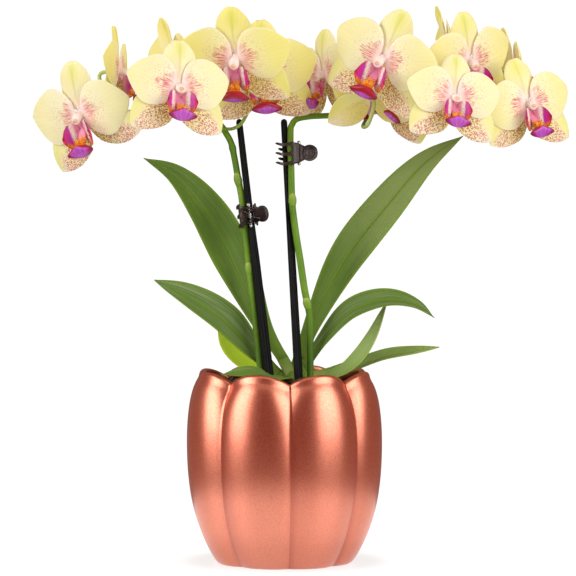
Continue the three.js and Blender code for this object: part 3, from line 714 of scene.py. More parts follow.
def lateral_finish():
    """The lower sepals: plain on the outer side, thick with short dashes on the inner side."""
    f = Finish("lateral_sepal_skin")
    base, vein, cloud = petal_ground(f, 1)
    along, across, face = f.marks()
    wander = f.noise(f.place(0.12, 0.12, 2))
    inner = (wander * 0.9 - across).between(0.1, 0.5)
    dash = f.cells(f.place(1.6, 0.85)).between(0.62, 0.4)
    broken = f.noise(f.place(1.1, 0.5), 2, 0.6).between(0.33, 0.48)
    ends = along.between(0.02, 0.12) * along.between(1.0, 0.86)
    spots = dash * broken * inner * ends * (0.2 + 0.8 * face.between(-0.5, 0.5))
    dark = f.paint((136, 46, 22), (along.between(0.25, 0.8), (196, 76, 84)))
    base = f.paint(
        base,
        (across.between(0.0, 0.7) * 0.45, (222, 218, 110)),
        (inner * along.between(0.85, 0.2) * 0.7, (234, 214, 100)),
        (inner * along.between(0.4, 0.95) * 0.6, (252, 232, 212)),
        (spots * 0.85, dark),
        (petal_pattern(f)[1].between(5.5, 2.5) * 0.8, (252, 232, 214)))
    return petal_surface(f, base, cloud - 0.25 * vein)


def column_finish():
    f = Finish("column_skin")
    along, _, _ = f.marks()
    blush = f.noise(f.place(0.5, 0.5, 0.5), 3)
    base = f.paint(
        (249, 222, 214),
        (along.between(0.15, 0.6), (252, 228, 216)),
        (blush.between(0.5, 0.75) * 0.3, (246, 200, 202)))
    return f.surface(
        Base_Color=base, Roughness=0.42, Normal=f.bump(blush, 0.0003, 0.3),
        **flesh(0.25, COLUMN_FLESH, 0.001))


def anther_finish():
    f = Finish("anther_cap")
    fleck = f.noise(f.place(0.9, 0.9, 0.9))
    return f.surface(
        Base_Color=f.paint((246, 200, 166), (fleck.between(0.35, 0.7), (240, 172, 132))),
        Roughness=0.38, Normal=f.bump(fleck, 0.0002, 0.3))


def lobe_finish():
    """The lip's side lobes: white and speckled inside, then a magenta band and a red rim."""
    f = Finish("lip_side_lobe")
    along, across, face = f.marks()
    cloud = f.noise(f.place(0.5, 0.5))
    speck = f.cells(f.place(1.25, 1.25)).between(0.5, 0.3)
    low = across.between(0.45, -0.5)
    magenta = f.paint((206, 44, 160), (along.between(0.5, 0.95), (214, 20, 116)))
    orange = f.paint((248, 150, 24), (speck * 0.6, (190, 50, 20)))
    foot = across.between(-0.35, -0.75) * along.between(0.15, 0.4) * along.between(0.9, 0.65)
    inner = f.paint(
        (232, 132, 160),
        (along.between(0.12, 0.3), (250, 232, 218)),
        (speck * (0.25 + 0.6 * low), (160, 26, 40)),
        ((along + 0.1 * cloud).between(0.4, 0.5), magenta),
        (foot, orange))
    outer = f.paint((236, 176, 196), (along.between(0.1, 0.9), (196, 40, 150)))
    edge = abs(across).between(0.86, 0.97) * along.between(0.3, 0.5)
    red = f.paint((170, 14, 40), (across.between(0.2, -0.75), (226, 62, 24)))
    base = f.paint(
        outer, ((-face).between(-0.4, 0.4), inner), (along.between(0.86, 0.95).most(edge) * 0.92, red))
    return f.surface(
        Base_Color=base, Roughness=0.4, Normal=f.bump(speck + cloud, 0.0002, 0.25),
        **flesh(0.15, LOBE_FLESH, 0.0008))


def tongue_finish():
    """The lip's middle lobe: a pink throat, an orange neck, a dark red deck, a lilac front."""
    f = Finish("lip_middle_lobe")
    along, across, face = f.marks()
    side = abs(across)
    deck_end = along - 0.1 * (abs(face) - 1)
    front = face.between(-0.4, 0.4) * deck_end.between(0.72, 0.77)
    speck = f.cells(f.place(1.1, 1.1)).between(0.5, 0.3)
    streak = f.noise(f.vector(across * 7, along * 4), 3)
    throat = f.paint((230, 140, 172), (speck * 0.25, (176, 40, 90)))
    neck = f.paint((246, 148, 30), (speck * 0.75, (178, 40, 24)))
    lilac = f.paint(
        (182, 66, 184),
        (streak.between(0.35, 0.7), (210, 104, 206)),
        (side.between(0.45, 0.9), (164, 18, 104)))
    lobe = f.paint(
        (172, 12, 40),
        (front, lilac),
        (side.between(0.72, 0.97) * along.between(0.95, 0.75), (136, 10, 40)))
    base = f.paint(throat, (along.between(0.28, 0.4), neck), (along.between(0.58, 0.64), lobe))
    return f.surface(
        Base_Color=base, Roughness=0.4, Normal=f.bump(streak, 0.0002, 0.3),
        **flesh(0.12, TONGUE_FLESH, 0.0008))


def callus_finish():
    f = Finish("lip_callus")
    speck = f.noise(f.place(1.5, 1.5, 1.5))
    return f.surface(
        Base_Color=f.paint((248, 160, 30), (speck.between(0.5, 0.62), (190, 56, 24))),
        Roughness=0.35, Normal=f.bump(speck, 0.0002, 0.4))


def floor_finish():
    """A white board: it glows towards its edge, so that no edge shows against the room."""
    f = Finish("white_board")
    reach = f.node("VectorMath", {"operation": "LENGTH"}, {0: f.solid()}, "Value")
    glow = f.mix(reach.between(SHADE_FROM, SHADE_TO), (0.68, 0.69, 0.69, 1), (1, 1, 1, 1))
    return f.surface(
        Base_Color=f.paint((150, 159, 160), (f.noise(f.solid(40)), (154, 163, 164))),
        Roughness=0.32, Specular_IOR_Level=0.4, Emission_Color=glow, Emission_Strength=1.0)


FINISHES = {
    "copper": copper_finish(), "nursery": nursery_finish(), "bark": bark_finish(),
    "sheath": sheath_finish(),
    "leaf": leaf_finish(
        "leaf_skin", (86, 122, 24), (58, 94, 14), (120, 150, 52), (138, 168, 40), 0.03),
    "young_leaf": leaf_finish(
        "young_leaf_skin", (158, 192, 20), (124, 166, 12), (190, 206, 60), (212, 214, 50), 0.3),
    "pale_leaf": leaf_finish(
        "pale_leaf_skin", (136, 164, 74), (110, 144, 50), (160, 182, 104), (170, 192, 74), 0.08),
    "stem": stem_finish(), "stalk": stalk_finish(), "bract": bract_finish(),
    "stake": stake_finish(), "clip": clip_finish(), "steel": steel_finish(),
    "petal": petal_finish(), "sepal": sepal_finish(), "lateral": lateral_finish(),
    "column": column_finish(), "anther": anther_finish(), "lobe": lobe_finish(),
    "tongue": tongue_finish(), "callus": callus_finish(), "floor": floor_finish(),
}


def finishes(*names):
    return [FINISHES[name] for name in names]


# Floor

FLOOR_REACH = 0.21


def build_floor():
    mesh = bpy.data.meshes.new("floor")
    rim = ring_at(round_angles(96), FLOOR_REACH, FLOOR_REACH, 0)
    mesh.from_pydata(rim.tolist(), [], [tuple(range(len(rim)))])
    mesh.materials.append(FINISHES["floor"])
    floor = bpy.data.objects.new("floor", mesh)
    bpy.context.collection.objects.link(floor)


build_floor()


# Cover pot

FIRST_GROOVE = radians(-86)
POT_WALL, POT_FLOOR, POT_FLOOR_RADIUS, POT_SIDES = 3, 4, 38, 256
CREST_TOP, GROOVE_TOP, SINK_FROM = 115.3, 109.6, 80
POT_CREST = np.array([
    [0, 40.4], [1.2, 42.2], [6, 45.5], [13.5, 49.5], [23.5, 53.4], [37, 57], [53, 59.2],
    [72, 60], [86, 59.5], [98, 58], [106, 55.8], [111.5, 53]])


def lobe_at(angle):
    turns = (angle - FIRST_GROOVE) / (2 * np.pi / LOBES)
    from_crest = 2 * (turns - np.floor(turns)) - 1
    return 1 - np.abs(from_crest) ** 2.1


def groove_depth(height):
    half = CREST_TOP / 2
    return np.where(height < half, mix(3, 3.2, height / half), mix(3.2, 4.3, height / half - 1))


def build_pot():
    angle = FIRST_GROOVE + round_angles(POT_SIDES)
    rim = mix(GROOVE_TOP, CREST_TOP, lobe_at(angle))
    shoulder = POT_CREST[-1, 0]

    def ring(height, radius, inset=0, level=None):
        wide = radius - inset - groove_depth(height) * (1 - lobe_at(angle))
        if level is None:
            level = height - smooth(height, SINK_FROM, shoulder) * (CREST_TOP - rim)
        return ring_at(angle, wide, wide, level)

    profile = Curve(np.hstack([POT_CREST, np.zeros((len(POT_CREST), 1))]))
    run = profile.at(np.linspace(0, 1, 70))
    outside = [ring(h, r) for h, r, _ in run]
    # The lip rolls over from the outside to the inner wall.
    lip = []
    for turn in np.linspace(0.08, 0.97, 12):
        swing = math.pi * turn
        inset = 0.2 + 1.75 * (1 - math.cos(swing)) + 1.1 * turn
        level = rim - 3.4 * (1 - math.sin(swing) ** 0.8) * (1 if turn < 0.5 else 0.25)
        lip.append(ring(shoulder, POT_CREST[-1, 1], inset, level))
    inside = [ring(h, r, POT_WALL) for h, r, _ in run[::-1] if 2 * POT_FLOOR < h < shoulder - 1.5]
    floor = [ring(0, POT_FLOOR_RADIUS + 1.5, 0, POT_FLOOR + 1.2),
             ring(0, POT_FLOOR_RADIUS, 0, POT_FLOOR)]
    pot = skin(outside + lip + inside + floor)
    make("cover_pot", [(pot, 0)], finishes("copper"), ["pot"])


build_pot()


# Nursery pot and bark

NURSERY_FOOT, NURSERY_TOP, NURSERY_WALL = 4.3, 106.5, 1.1
NURSERY_BASE, NURSERY_RIM, RIM_WIDTH, RIM_DEPTH = 31, 42.9, 1.4, 4
BARK_EDGE, BARK_MIDDLE, BARK_BUMP, BARK_GAP, BARK_SUNK = 104.6, 108.6, 1.3, 0.3, 0.9
CHIPS, CHIP_SIDES, CHIP_INSET, CHIP_SUNK = 330, 7, 4.2, 1.6
CROWN_X, CROWN_Y, CROWN_ROOM = 5.5, 0.5, 11.5


def nursery_radius(height):
    rise = (height - NURSERY_FOOT) / (NURSERY_TOP - NURSERY_FOOT)
    return mix(NURSERY_BASE, NURSERY_RIM - RIM_WIDTH, rise)


def turned(profile, sides):
    """A body turned about the upright axis, from radius and height."""
    return skin([ring_at(round_angles(sides), r, r, z) for r, z in profile])


def build_nursery_pot():
    under = NURSERY_TOP - RIM_DEPTH
    inner = nursery_radius(NURSERY_TOP) - NURSERY_WALL
    profile = [
        (NURSERY_BASE - 0.8, NURSERY_FOOT), (NURSERY_BASE, NURSERY_FOOT + 0.8),
        (nursery_radius(under) - 0.3, under - 0.3), (nursery_radius(under) + 0.2, under),
        (NURSERY_RIM - 0.3, under), (NURSERY_RIM, under + 0.3), (NURSERY_RIM, NURSERY_TOP - 0.4),
        (NURSERY_RIM - 0.4, NURSERY_TOP), (inner + 0.3, NURSERY_TOP), (inner, NURSERY_TOP - 0.3),
        (nursery_radius(NURSERY_FOOT + 1.1) - NURSERY_WALL, NURSERY_FOOT + NURSERY_WALL)]
    make("nursery_pot_wall", [(turned(profile, 96), 0)], finishes("nursery"),
         ["nursery_pot"], sharp=50)


def bark_top(x, y):
    outward = np.hypot(x, y) / NURSERY_RIM
    chunks = np.sin(0.42 * x + 1.1 * np.sin(0.31 * y)) * np.sin(0.47 * y + 0.6)
    return mix(BARK_MIDDLE, BARK_EDGE, outward ** 2) + BARK_BUMP * chunks


def chip(rng, x, y, z):
    """One angular chunk of bark, lying askew."""
    size = rng.uniform(2.2, 5.2)
    angle = round_angles(CHIP_SIDES) + rng.uniform(0, 6)
    outline = rng.uniform(0.75, 1.2, CHIP_SIDES)
    rings = []
    for level, wide in ((-0.5, 0.7), (-0.35, 1), (0.3, 0.95), (0.5, 0.62)):
        reach = size * wide * outline * rng.uniform(0.88, 1.12, CHIP_SIDES)
        rings.append(ring_at(angle, 1.35 * reach, 0.8 * reach, level * size * 0.6))
    part = skin(rings)
    part.lay[:, 2] = rng.uniform(0, 1)
    tilt = Euler((rng.normal(0, 0.35), rng.normal(0, 0.35), rng.uniform(0, 6.28)))
    return part.moved(Matrix.Translation((x, y, z)) @ tilt.to_matrix().to_4x4())


def build_bark():
    rng = np.random.default_rng(7)
    angle = round_angles(96)
    inset = NURSERY_WALL + BARK_GAP
    foot = NURSERY_FOOT + inset
    edge, base = nursery_radius(BARK_EDGE) - inset, nursery_radius(foot) - inset
    rings = [ring_at(angle, base, base, foot)]
    for share in np.linspace(1, 0.04, 22):
        ring = ring_at(angle, edge * share, edge * share, 0)
        ring[:, 2] = bark_top(ring[:, 0], ring[:, 1]) - BARK_SUNK
        rings.append(ring)
    parts = [(skin(rings), 0)]
    for _ in range(CHIPS):
        far = (edge - CHIP_INSET) * math.sqrt(rng.uniform(0, 1))
        turn = rng.uniform(0, 2 * math.pi)
        x, y = far * math.cos(turn), far * math.sin(turn)
        if math.hypot(x - CROWN_X, y - CROWN_Y) < CROWN_ROOM:
            continue
        parts.append((chip(rng, x, y, float(bark_top(x, y)) - rng.uniform(0, CHIP_SUNK)), 0))
    make("bark_heap", parts, finishes("bark"), ["bark"], sharp=35)


build_nursery_pot()
build_bark()


# Leaves and crown

# The points along each leaf, where its face looks at the foot and the tip, half its width, its fold.
LEAVES = {
    "leaf_1": ([(-1, 3, 121), (-13.6, 8.7, 141), (-30.6, 13.2, 177.6), (-48, 14, 210),
                (-66, 11, 231.8), (-84.4, 6, 242.6)],
               [(0.5, -0.8, 0.35), (0.3, -0.85, 0.5)], 14.6, 0.3),
    "leaf_2": ([(-3, -1.5, 112), (-17, -1, 124.5), (-36, -6, 144.6), (-56.5, -12, 159),
                (-77, -18, 170)],
               [(0.5, -0.65, 0.6), (0.1, -0.8, 0.6)], 12, 0.3),
    "leaf_3": ([(-1.5, 7, 111), (-14, 16, 115.5), (-29.5, 25, 127.4), (-40.5, 32, 141.5)],
               [(0.3, -0.8, 0.5), (0.3, -0.8, 0.6)], 11, 0.2),
    "leaf_4": ([(2, -7.5, 110.5), (-7, -23, 112), (-20, -29.5, 115.2), (-37, -32, 114.6)],
               [(0, -0.35, 0.9), (0, -0.5, 0.85)], 7, 0.2),
    "leaf_5": ([(9, 5.5, 121), (19, 12, 145.5), (38, 18, 181.5), (63, 18, 214), (86, 15, 240),
                (108, 10, 256)],
               [(-0.5, -0.8, 0.3), (-0.4, -0.8, 0.4)], 14, 0.15),
    "leaf_6": ([(12.5, -0.5, 116), (24.4, -5, 133.6), (41.6, -11, 151), (62, -17, 157.6),
                (78, -23, 155), (89, -28, 148)],
               [(-0.6, -0.6, 0.6), (0.2, -0.5, 0.85)], 10, 0.3),
    "leaf_7": ([(12.5, -2.6, 109.8), (25, -3.4, 110.4), (37, -8, 114.2), (47, -11.5, 123.6),
                (54.6, -13, 136.6), (61.5, -14, 157)],
               [(-0.2, -0.4, 0.9), (-0.75, -0.6, 0.4)], 6.5, 0.55),
    "leaf_8": ([(13, 5, 111), (25, 7, 112), (42, 5, 116.6), (61, 0, 123.2), (78, -4, 126.4),
                (93, -7, 129.5)],
               [(-0.2, -0.4, 0.9), (0, -0.45, 0.9)], 8, 0.25),
}
LEAF_NECK, LEAF_THICK, LEAF_THIN, LEAF_WAVE = 4.2, 2, 0.9, 0.35
SHEATH_WIDE, SHEATH_DEEP, SHEATH_DROP = 4.4, 3.2, 14
ROOTS, ROOT_GROOVE, ROOTS_TO = 12, 0.9, 108

# How deep or pale each leaf is painted, from deep green to a greyish green that is a painted sheen.
LEAF_TONE_AND_SHEEN = dict(leaf_1=0.45, leaf_2=0.1, leaf_3=0.5, leaf_4=0.2, leaf_5=1.0, leaf_6=0.05,
                 leaf_7=0.8, leaf_8=0.5)

# The finish and the slot of each leaf that isn't a plain one.
LEAF_KIND = dict(leaf_3=("young_leaf", "young_leaf"), leaf_7=("pale_leaf", "leaf"),
                 leaf_8=("pale_leaf", "leaf"))


def leaf_frame(spine, faces, t):
    curve = Curve(spine)
    centre, forward = curve.at(t), curve.forward(t)
    looks = mix(np.array(faces[0]), np.array(faces[1]), np.asarray(t)[..., None])
    across = unit(np.cross(forward, looks))
    return centre, forward, across, np.cross(across, forward)


def leaf_half_width(half, t):
    swell = mix(LEAF_NECK, half, smooth(t, 0, 0.5))
    taper = np.where(t > 0.5, 1 - np.maximum((t - 0.5) / 0.5, 0) ** 2.1, 1)
    return np.maximum(swell * taper, 0.25)


def build_leaf(name):
    spine, faces, half, fold = LEAVES[name]
    length = Curve(spine).length
    phase = 1.7 * int(name[-1])

    def middle(t, s):
        centre, _, across, face = leaf_frame(spine, faces, t)
        wide = leaf_half_width(half, t)
        soft = np.sqrt(s * s + 0.004)
        rise = fold * wide * soft ** 1.3
        rise = rise + LEAF_WAVE * np.sin(9 * t + phase + 1.2 * s) * s ** 2
        return centre + across * (s * wide)[..., None] + face * rise[..., None]

    def thickness(t, s):
        body = mix(LEAF_THICK, LEAF_THIN, np.abs(s)) * mix(1, 0.6, t)
        return body * rounded(s, 6, 0.06) * rounded(t, 14, 0.1)

    def place(t, s):
        return on_flat(s * leaf_half_width(half, t), t * length, phase)

    part = blade(middle, thickness, np.linspace(0, 1, 61) ** 0.95, 22, place)
    part.lay[:, 2] *= 1 + LEAF_TONE_AND_SHEEN[name]
    finish, slot = LEAF_KIND.get(name, ("leaf", "leaf"))
    make(name + "_blade", [(part, 0)], finishes(finish), [name])


def sheath(name):
    """The sheath that a leaf grows from, which clasps the short stem."""
    spine, faces, _, fold = LEAVES[name]
    centre, forward, across, face = (v[0] for v in leaf_frame(spine, faces, np.array([0.0])))
    foot = np.array([CROWN_X, CROWN_Y, centre[2] - SHEATH_DROP])
    neck = centre + forward * 0.6
    bend = mix(centre - forward * 4, foot, 0.25)
    path = Curve([foot, bend, neck])
    angle = round_angles(32)
    rings = []
    share = np.linspace(0, 1, 16)
    for t in share:
        wide, deep = mix(SHEATH_WIDE, LEAF_NECK, t), mix(SHEATH_DEEP, 1.0, t)
        s = np.cos(angle)
        rise = fold * wide * np.abs(s) ** 1.3
        rings.append(path.point(np.array(t)) + across * (wide * s)[:, None]
                     + face * (rise + deep * np.sin(angle))[:, None])
    return skin(rings, along=share)


def crown_stem():
    """The short stem, with thick roots round it below the bark."""
    profile = Curve([(64, 4.7, 0), (72, 9.4, 0), (100.6, 9.4, 0), (109.6, 7.4, 0),
                     (112, 5.6, 0), (115, 2.2, 0)])
    angle = round_angles(36)
    share = np.linspace(0, 1, 40)
    rings = []
    for z, radius, _ in profile.at(share):
        ridged = radius - ROOT_GROOVE * np.cos(ROOTS / 2 * angle) ** 2 * (z < ROOTS_TO)
        rings.append(ring_at(angle, ridged, 0.9 * ridged, z) + (CROWN_X, CROWN_Y, 0))
    return skin(rings, along=share)


for leaf_name in LEAVES:
    build_leaf(leaf_name)
make("crown_sheaths", [(crown_stem(), 0)] + [(sheath(name), 0) for name in LEAVES],
     finishes("sheath"), ["crown"])


# Blooms

# In mm. The widest place moves to the tip as swell grows, and the ends get blunter as full drops.
PETAL = dict(length=31, half=14.8, claw=2.1, start=2.2, angle=13, depth=-1.7, recurve=3.2,
             edge=0.8, swell=0.86, full=0.68)
DORSAL = dict(length=28.6, half=9.6, claw=1.8, start=2.3, angle=90, depth=0.4, recurve=2,
              edge=1.8, swell=1.16, full=0.6)
LATERAL = dict(length=35.7, half=11.8, claw=1.8, start=2.3, angle=-42, depth=0.4, recurve=1.5,
               edge=1.8, swell=0.98, full=0.68)

# Place, turn (yaw, pitch, roll), size, and by how many degrees each tepal grew askew.
BLOOMS = {
    "a": ((-118.5, -44, 267.8), (-29, -14, 15), 1.05, (-9, -12, 2, 13, 4)),
    "b": ((-100, -4, 294.5), (80, 0, -3), 0.9, None),
    "c": ((-61, -62, 282.6), (18, 9, -5), 0.95, None),
    "d": ((-68, 22, 299.5), (115, 10, 0), 0.96, None),
    "e": ((-28, -42, 301), (-14, -25, 0), 1.03, None),
    "f": ((-13, -13, 293.5), (11, -10, 3), 1.03, None),
    "g": ((24.5, 4, 292.5), (-52, 0, 5), 0.92, None),
    "h": ((58, -46.5, 300), (-25, -6, -22), 1.03, (-5, 0, 0, 0, 0)),
    "i": ((52, -20, 279), (-170, 20, 10), 0.79, (0, 0, 0, 0, -28)),
    "j": ((69, -1.5, 285), (5, -5, -27), 0.96, None),
    "k": ((98.5, -60, 277), (15, 11, -7), 0.88, None),
    "l": ((108.5, -30, 299.5), (37, -12, 9), 0.99, (8, 0, 0, 0, 0)),
    "m": ((143.4, -30, 274.4), (27, 3, 7), 0.92, (11, 0, 12, 0, -4)),
    "n": ((138, 14, 296), (100, 10, 0), 0.86, None),
    "o": ((98, 13, 309), (95, 10, 0), 0.86, None),
}

# How yellow each bloom is, from cream to lemon.
YELLOW = dict(a=0.2, b=0.8, c=0.15, d=0.8, e=0.9, f=0.85, g=0.4, h=0.4, i=0.9, j=0.8, k=0.1, l=0.6,
              m=0.5, n=0.7, o=0.9)

# How far the dark red of the lip's deck comes down its front, where it does.
RED_DECK = dict(e=1.0, f=0.6, h=1.1, j=0.5)


def bloom_matrix(name):
    at, turn, size, _ = BLOOMS[name]
    yaw, pitch, roll = (radians(v) for v in turn)
    spin = (Matrix.Rotation(yaw, 4, "Z") @ Matrix.Rotation(-pitch, 4, "X")
            @ Matrix.Rotation(-roll, 4, "Y"))
    return Matrix.Translation(at) @ spin


def tepal(shape, angle, size, wave, hand, seed, tone):
    """A petal or a sepal, which grows out at an angle round the bloom's middle."""
    turn = radians(angle)
    direction = np.array([math.cos(turn), 0, math.sin(turn)])
    across = np.array([-math.sin(turn), 0, math.cos(turn)])
    petal = shape is PETAL

    def half_at(t):
        t = np.minimum(t, 0.9995)
        belly = np.sin(np.pi * t ** shape["swell"]) ** shape["full"]
        return np.maximum(shape["claw"] * (1 - t) + shape["half"] * belly, 0.2)

    def reach_at(t):
        return shape["start"] + shape["length"] * t

    def middle(t, s):
        half, reach = half_at(t), reach_at(t)
        if shape is DORSAL:
            # A small notch at the tip.
            reach = reach - 1.1 * smooth(t, 0.85, 1) * np.exp(-(s * half / 1.6) ** 2)
        # The cup, the edge that bends back, and a slight twist.
        depth = (shape["depth"] + shape["recurve"] * t ** 3 - 1.2 * np.sin(np.pi * t)
                 + shape["edge"] * (s * half / shape["half"]) ** 2
                 + wave * s * t * np.sin(5 * t + 2 * wave))
        # Ruffles along the edge, and a fold along the middle line.
        ruffle = np.abs(s) ** 3 * smooth(t, 0.15, 0.6)
        depth = depth + 0.45 * ruffle * np.sin(8 * t + 2.3 * seed + 1.5 * np.sign(s))
        depth = depth + (0.5 if petal else -0.45) * np.exp(-(s / 0.13) ** 2) * (1 - t) ** 0.5
        edge = 1 + 0.018 * np.sin(11 * t + seed * 3.1 + 2 * np.sign(s)) * np.abs(s) ** 4
        return (direction * (reach * size)[..., None] + across * (s * half * edge * size)[..., None]
                + np.array([0, 1, 0]) * (depth * size)[..., None])

    def thickness(t, s):
        return mix(1.2, 0.62, smooth(t, 0, 0.35)) * rounded(s, 8, 0.12) * rounded(t, 20, 0.15)

    def place(t, s):
        return on_flat(s * half_at(t) * size, reach_at(t) * size, 5 * seed)

    stations = 1 - (1 - np.linspace(0, 1, 27)) ** 1.35
    part = blade(middle, thickness, stations, 18, place)
    part.lay[:, 1] *= hand
    part.lay[:, 2] *= facing(part) * (1 + tone)
    return part


def facing(part):
    """1 where the blade's first face looks to the front, and -1 where its second does."""
    count = len(part.points) // 2
    return 1.0 if part.points[:count, 1].mean() < part.points[count:, 1].mean() else -1.0


def scaled(part, size):
    return Part(part.points * size, part.faces, part.lay, part.points * size)


def column(size):
    """The column: a stout rod with a rounded hood, the anther cap, and the hollow below it."""
    path = Curve([(1.3, 0, 3.8), (-0.8, -0.1, 3.0), (-2.6, -0.4, 2.45), (-4.2, -0.8, 2.7),
                  (-5.8, -1.3, 3.0), (-7.0, -1.8, 2.6), (-7.8, -2.2, 1.4)])
    angle = round_angles(22)
    share = np.linspace(0, 1, 22)
    wide, high = np.cos(angle), np.sin(angle)
    rings = [np.stack([r * wide, y + 0.12 * r * high, z + 1.05 * r * high], axis=1)
             for y, z, r in path.at(share)]
    body = scaled(skin(rings, along=share), size)
    cap = scaled(ball((0, -7.5, -2.0), (1.7, 1.1, 1.3)), size)
    hollow = scaled(ball((0, -6.0, -3.7), (1.5, 1.3, 1.0)), size)
    return [(body, 3), (cap, 4), (hollow, 3)]


def tongue(size, seed, deck):
    """The lip's middle lobe: a neck, a deck that juts forward, and a front face below its edge."""
    path = Curve([(0, -1.6, -4), (0, -5.2, -9.6), (0, -9.2, -14.9), (0, -15, -17.2),
                  (0, -11.6, -22.3)])
    outline = np.array([(0, 1.9), (0.3, 2.5), (0.5, 2.9), (0.58, 3.2), (0.66, 6.2), (0.72, 8.6),
                        (0.76, 9.1), (0.82, 8.4), (0.88, 7.0), (0.94, 5.0), (0.98, 3.2), (1, 1.6)])

    def half_at(t):
        return np.interp(t, outline[:, 0], outline[:, 1])

    def middle(t, s):
        # The deck rises to a peak in its middle, and its edges droop and turn back.
        x = s * half_at(t)
        droop = 0.026 * x * x * smooth(t, 0.5, 0.7)
        peak = 1.5 * np.exp(-(x / 2.2) ** 2) * np.exp(-((t - 0.75) / 0.07) ** 2)
        back = 0.02 * x * x * smooth(t, 0.5, 0.7)
        return (path.point(t) + np.stack([x, back, peak - droop], axis=-1)) * size

    def thickness(t, s):
        return 1.1 * size * rounded(s, 6, 0.1)

    def place(t, s):
        return on_flat(s * half_at(t) * size, t * 24 * size, seed)

    part = blade(middle, thickness, np.linspace(0, 1, 52), 18, place)
    part.lay[:, 2] *= facing(part) * (1 + deck)
    return part


def side_lobe(size, hand, seed):
    """A cupped plate beside the column, round in front view, open to the front."""
    def reach_at(t):
        return 1.2 + 8.1 * np.sin(0.5 * np.pi * t)

    def height_at(x):
        beyond = np.clip((x - 4.2) / 5.2, 0, 1)
        return 7.5 * mix(0.7, 1, smooth(x, 1, 4.2)) * np.sqrt(np.maximum(1 - beyond ** 2.3, 0.012))

    def middle(t, s):
        x = reach_at(t)
        curl = 0.6 * s * s * smooth(t, 0.3, 1)
        return np.stack([
            hand * (x - curl), -4.4 - 7.6 * t - 0.8 * s * s * t,
            -10.2 + s * height_at(x) - 0.4 * t], axis=-1) * size

    def thickness(t, s):
        return 0.8 * size * rounded(s, 6, 0.15)

    def place(t, s):
        return on_flat(s * height_at(reach_at(t)) * size, t * 12 * size, seed)

    part = blade(middle, thickness, np.linspace(0, 1, 24), 16, place)
    count = len(part.points) // 2
    outward = np.abs(part.points[:count, 0]).mean() > np.abs(part.points[count:, 0]).mean()
    part.lay[:, 2] *= 1 if outward else -1
    return part


def build_bloom(name):
    _, _, size, askew = BLOOMS[name]
    askew = askew or (0, 0, 0, 0, 0)
    seed = ord(name) - ord("a") + 1
    wave = 0.5 * math.sin(7 * ord(name))
    matrix = bloom_matrix(name)
    places = [(DORSAL, DORSAL["angle"], 1, 1)]
    for shape, finish in ((PETAL, 0), (LATERAL, 2)):
        places += [(shape, shape["angle"], 1, finish), (shape, 180 - shape["angle"], -1, finish)]
    parts = []
    for number, (shape, angle, hand, finish) in enumerate(places):
        sway = wave if number % 2 else -wave
        grown = seed + 0.37 * number
        parts.append((
            tepal(shape, angle + askew[number], size, sway, hand, grown, YELLOW[name]), finish))
    parts += column(size)
    make(f"bloom_{name}_flower", [(part.moved(matrix), finish) for part, finish in parts],
         finishes("petal", "sepal", "lateral", "column", "anther"),
         [f"bloom_{name}_tepals"])
    lip = [(tongue(size, seed, RED_DECK.get(name, 0.0)), 1)]
    lip += [(side_lobe(size, hand, seed), 0) for hand in (1, -1)]
    lip += [(scaled(ball((hand * 1.6, -10.3, -14.0), (1.8, 1.4, 1.9)), size), 2)
            for hand in (-1, 1)]
    make(f"bloom_{name}_labellum", [(part.moved(matrix), finish) for part, finish in lip],
         finishes("lobe", "tongue", "callus"), [f"bloom_{name}_lip"])


for bloom_name in BLOOMS:
    build_bloom(bloom_name)


# Spikes and stakes

SPIKES = {
    "left": (
        [(-13.2, -10.4, 84), (-13.2, -10.4, 107), (-14.3, -9.6, 118.4), (-17, -8.4, 143.7),
         (-19.2, -7.5, 163.6), (-23.5, -5.9, 201), (-25.4, -5, 219.4), (-27.3, -4.5, 229.4),
         (-29.6, -3.5, 242.5), (-31.8, -2.5, 252), (-36, -1, 259.5)],
        [(-36, -1, 259.5), (-41, 1, 266), (-48, 3, 270.5), (-60, 4, 272), (-75, 3, 272),
         (-89, -3, 270.5), (-101, -13, 269), (-109, -22, 268.5)],
        [(0.52, -1), (0.82, -1)]),
    "right": (
        [(15.7, -10, 84), (15.7, -10, 107), (15.7, -10.3, 128), (15.4, -10.9, 148),
         (12.3, -11.6, 164), (9.6, -12.1, 182), (7.2, -12.1, 197), (5, -11.8, 215),
         (4.3, -10.3, 237), (3.9, -8.8, 251), (4, -5.5, 261)],
        [(4, -5.5, 261), (7, -1, 265.5), (14, 2.5, 267.3), (26, 4, 268), (39.5, 4, 268.6),
         (52, 8, 270), (68, 10, 273), (86, 9, 275), (102, 6, 276.5), (117, 0, 277.5),
         (129, -5, 278)],
        [(0.75, 1), (0.4, -1)]),
}

# Spike, share of the rachis where the stalk starts, and the points that it passes.
STALKS = {
    "a": ("left", 1, []), "b": ("left", 0.84, []), "c": ("left", 0.6, []),
    "d": ("left", 0.66, []),
    "e": ("left", 0.1, [(-44.5, -12, 265), (-41, -21, 273), (-33, -24, 287)]),
    "f": ("left", 0.01, [(-31, -6.5, 260), (-26, -9, 262.5), (-20.5, -5, 273)]),
    "g": ("right", 0.26, []), "h": ("right", 0.3, [(38.5, -0.5, 292), (50.5, -15, 306)]),
    "i": ("right", 0.4, [(47, -10, 261.5), (50, -29, 263)]), "j": ("right", 0.6, []),
    "k": ("right", 0.84, [(108, -22, 270)]), "l": ("right", 0.9, []), "m": ("right", 0.98, []),
    "n": ("right", 0.94, []), "o": ("right", 0.74, []),
}
STEM_FOOT, STEM_MIDDLE, STEM_TOP, STEM_TIP, STALK = 1.95, 2.15, 1.85, 1.1, 1.0
STALK_SEAT, STALK_GAP, STALK_BEHIND, STALK_DROP = 1.2, 0.3, 9, 2
BARE_NODES, NODE_SWELL, NODE_SPREAD = [0.12, 0.93], 0.35, 1.6
FORK_SWELL, FORK_SPREAD, FORK_MOST = 0.3, 1.8, 1.2


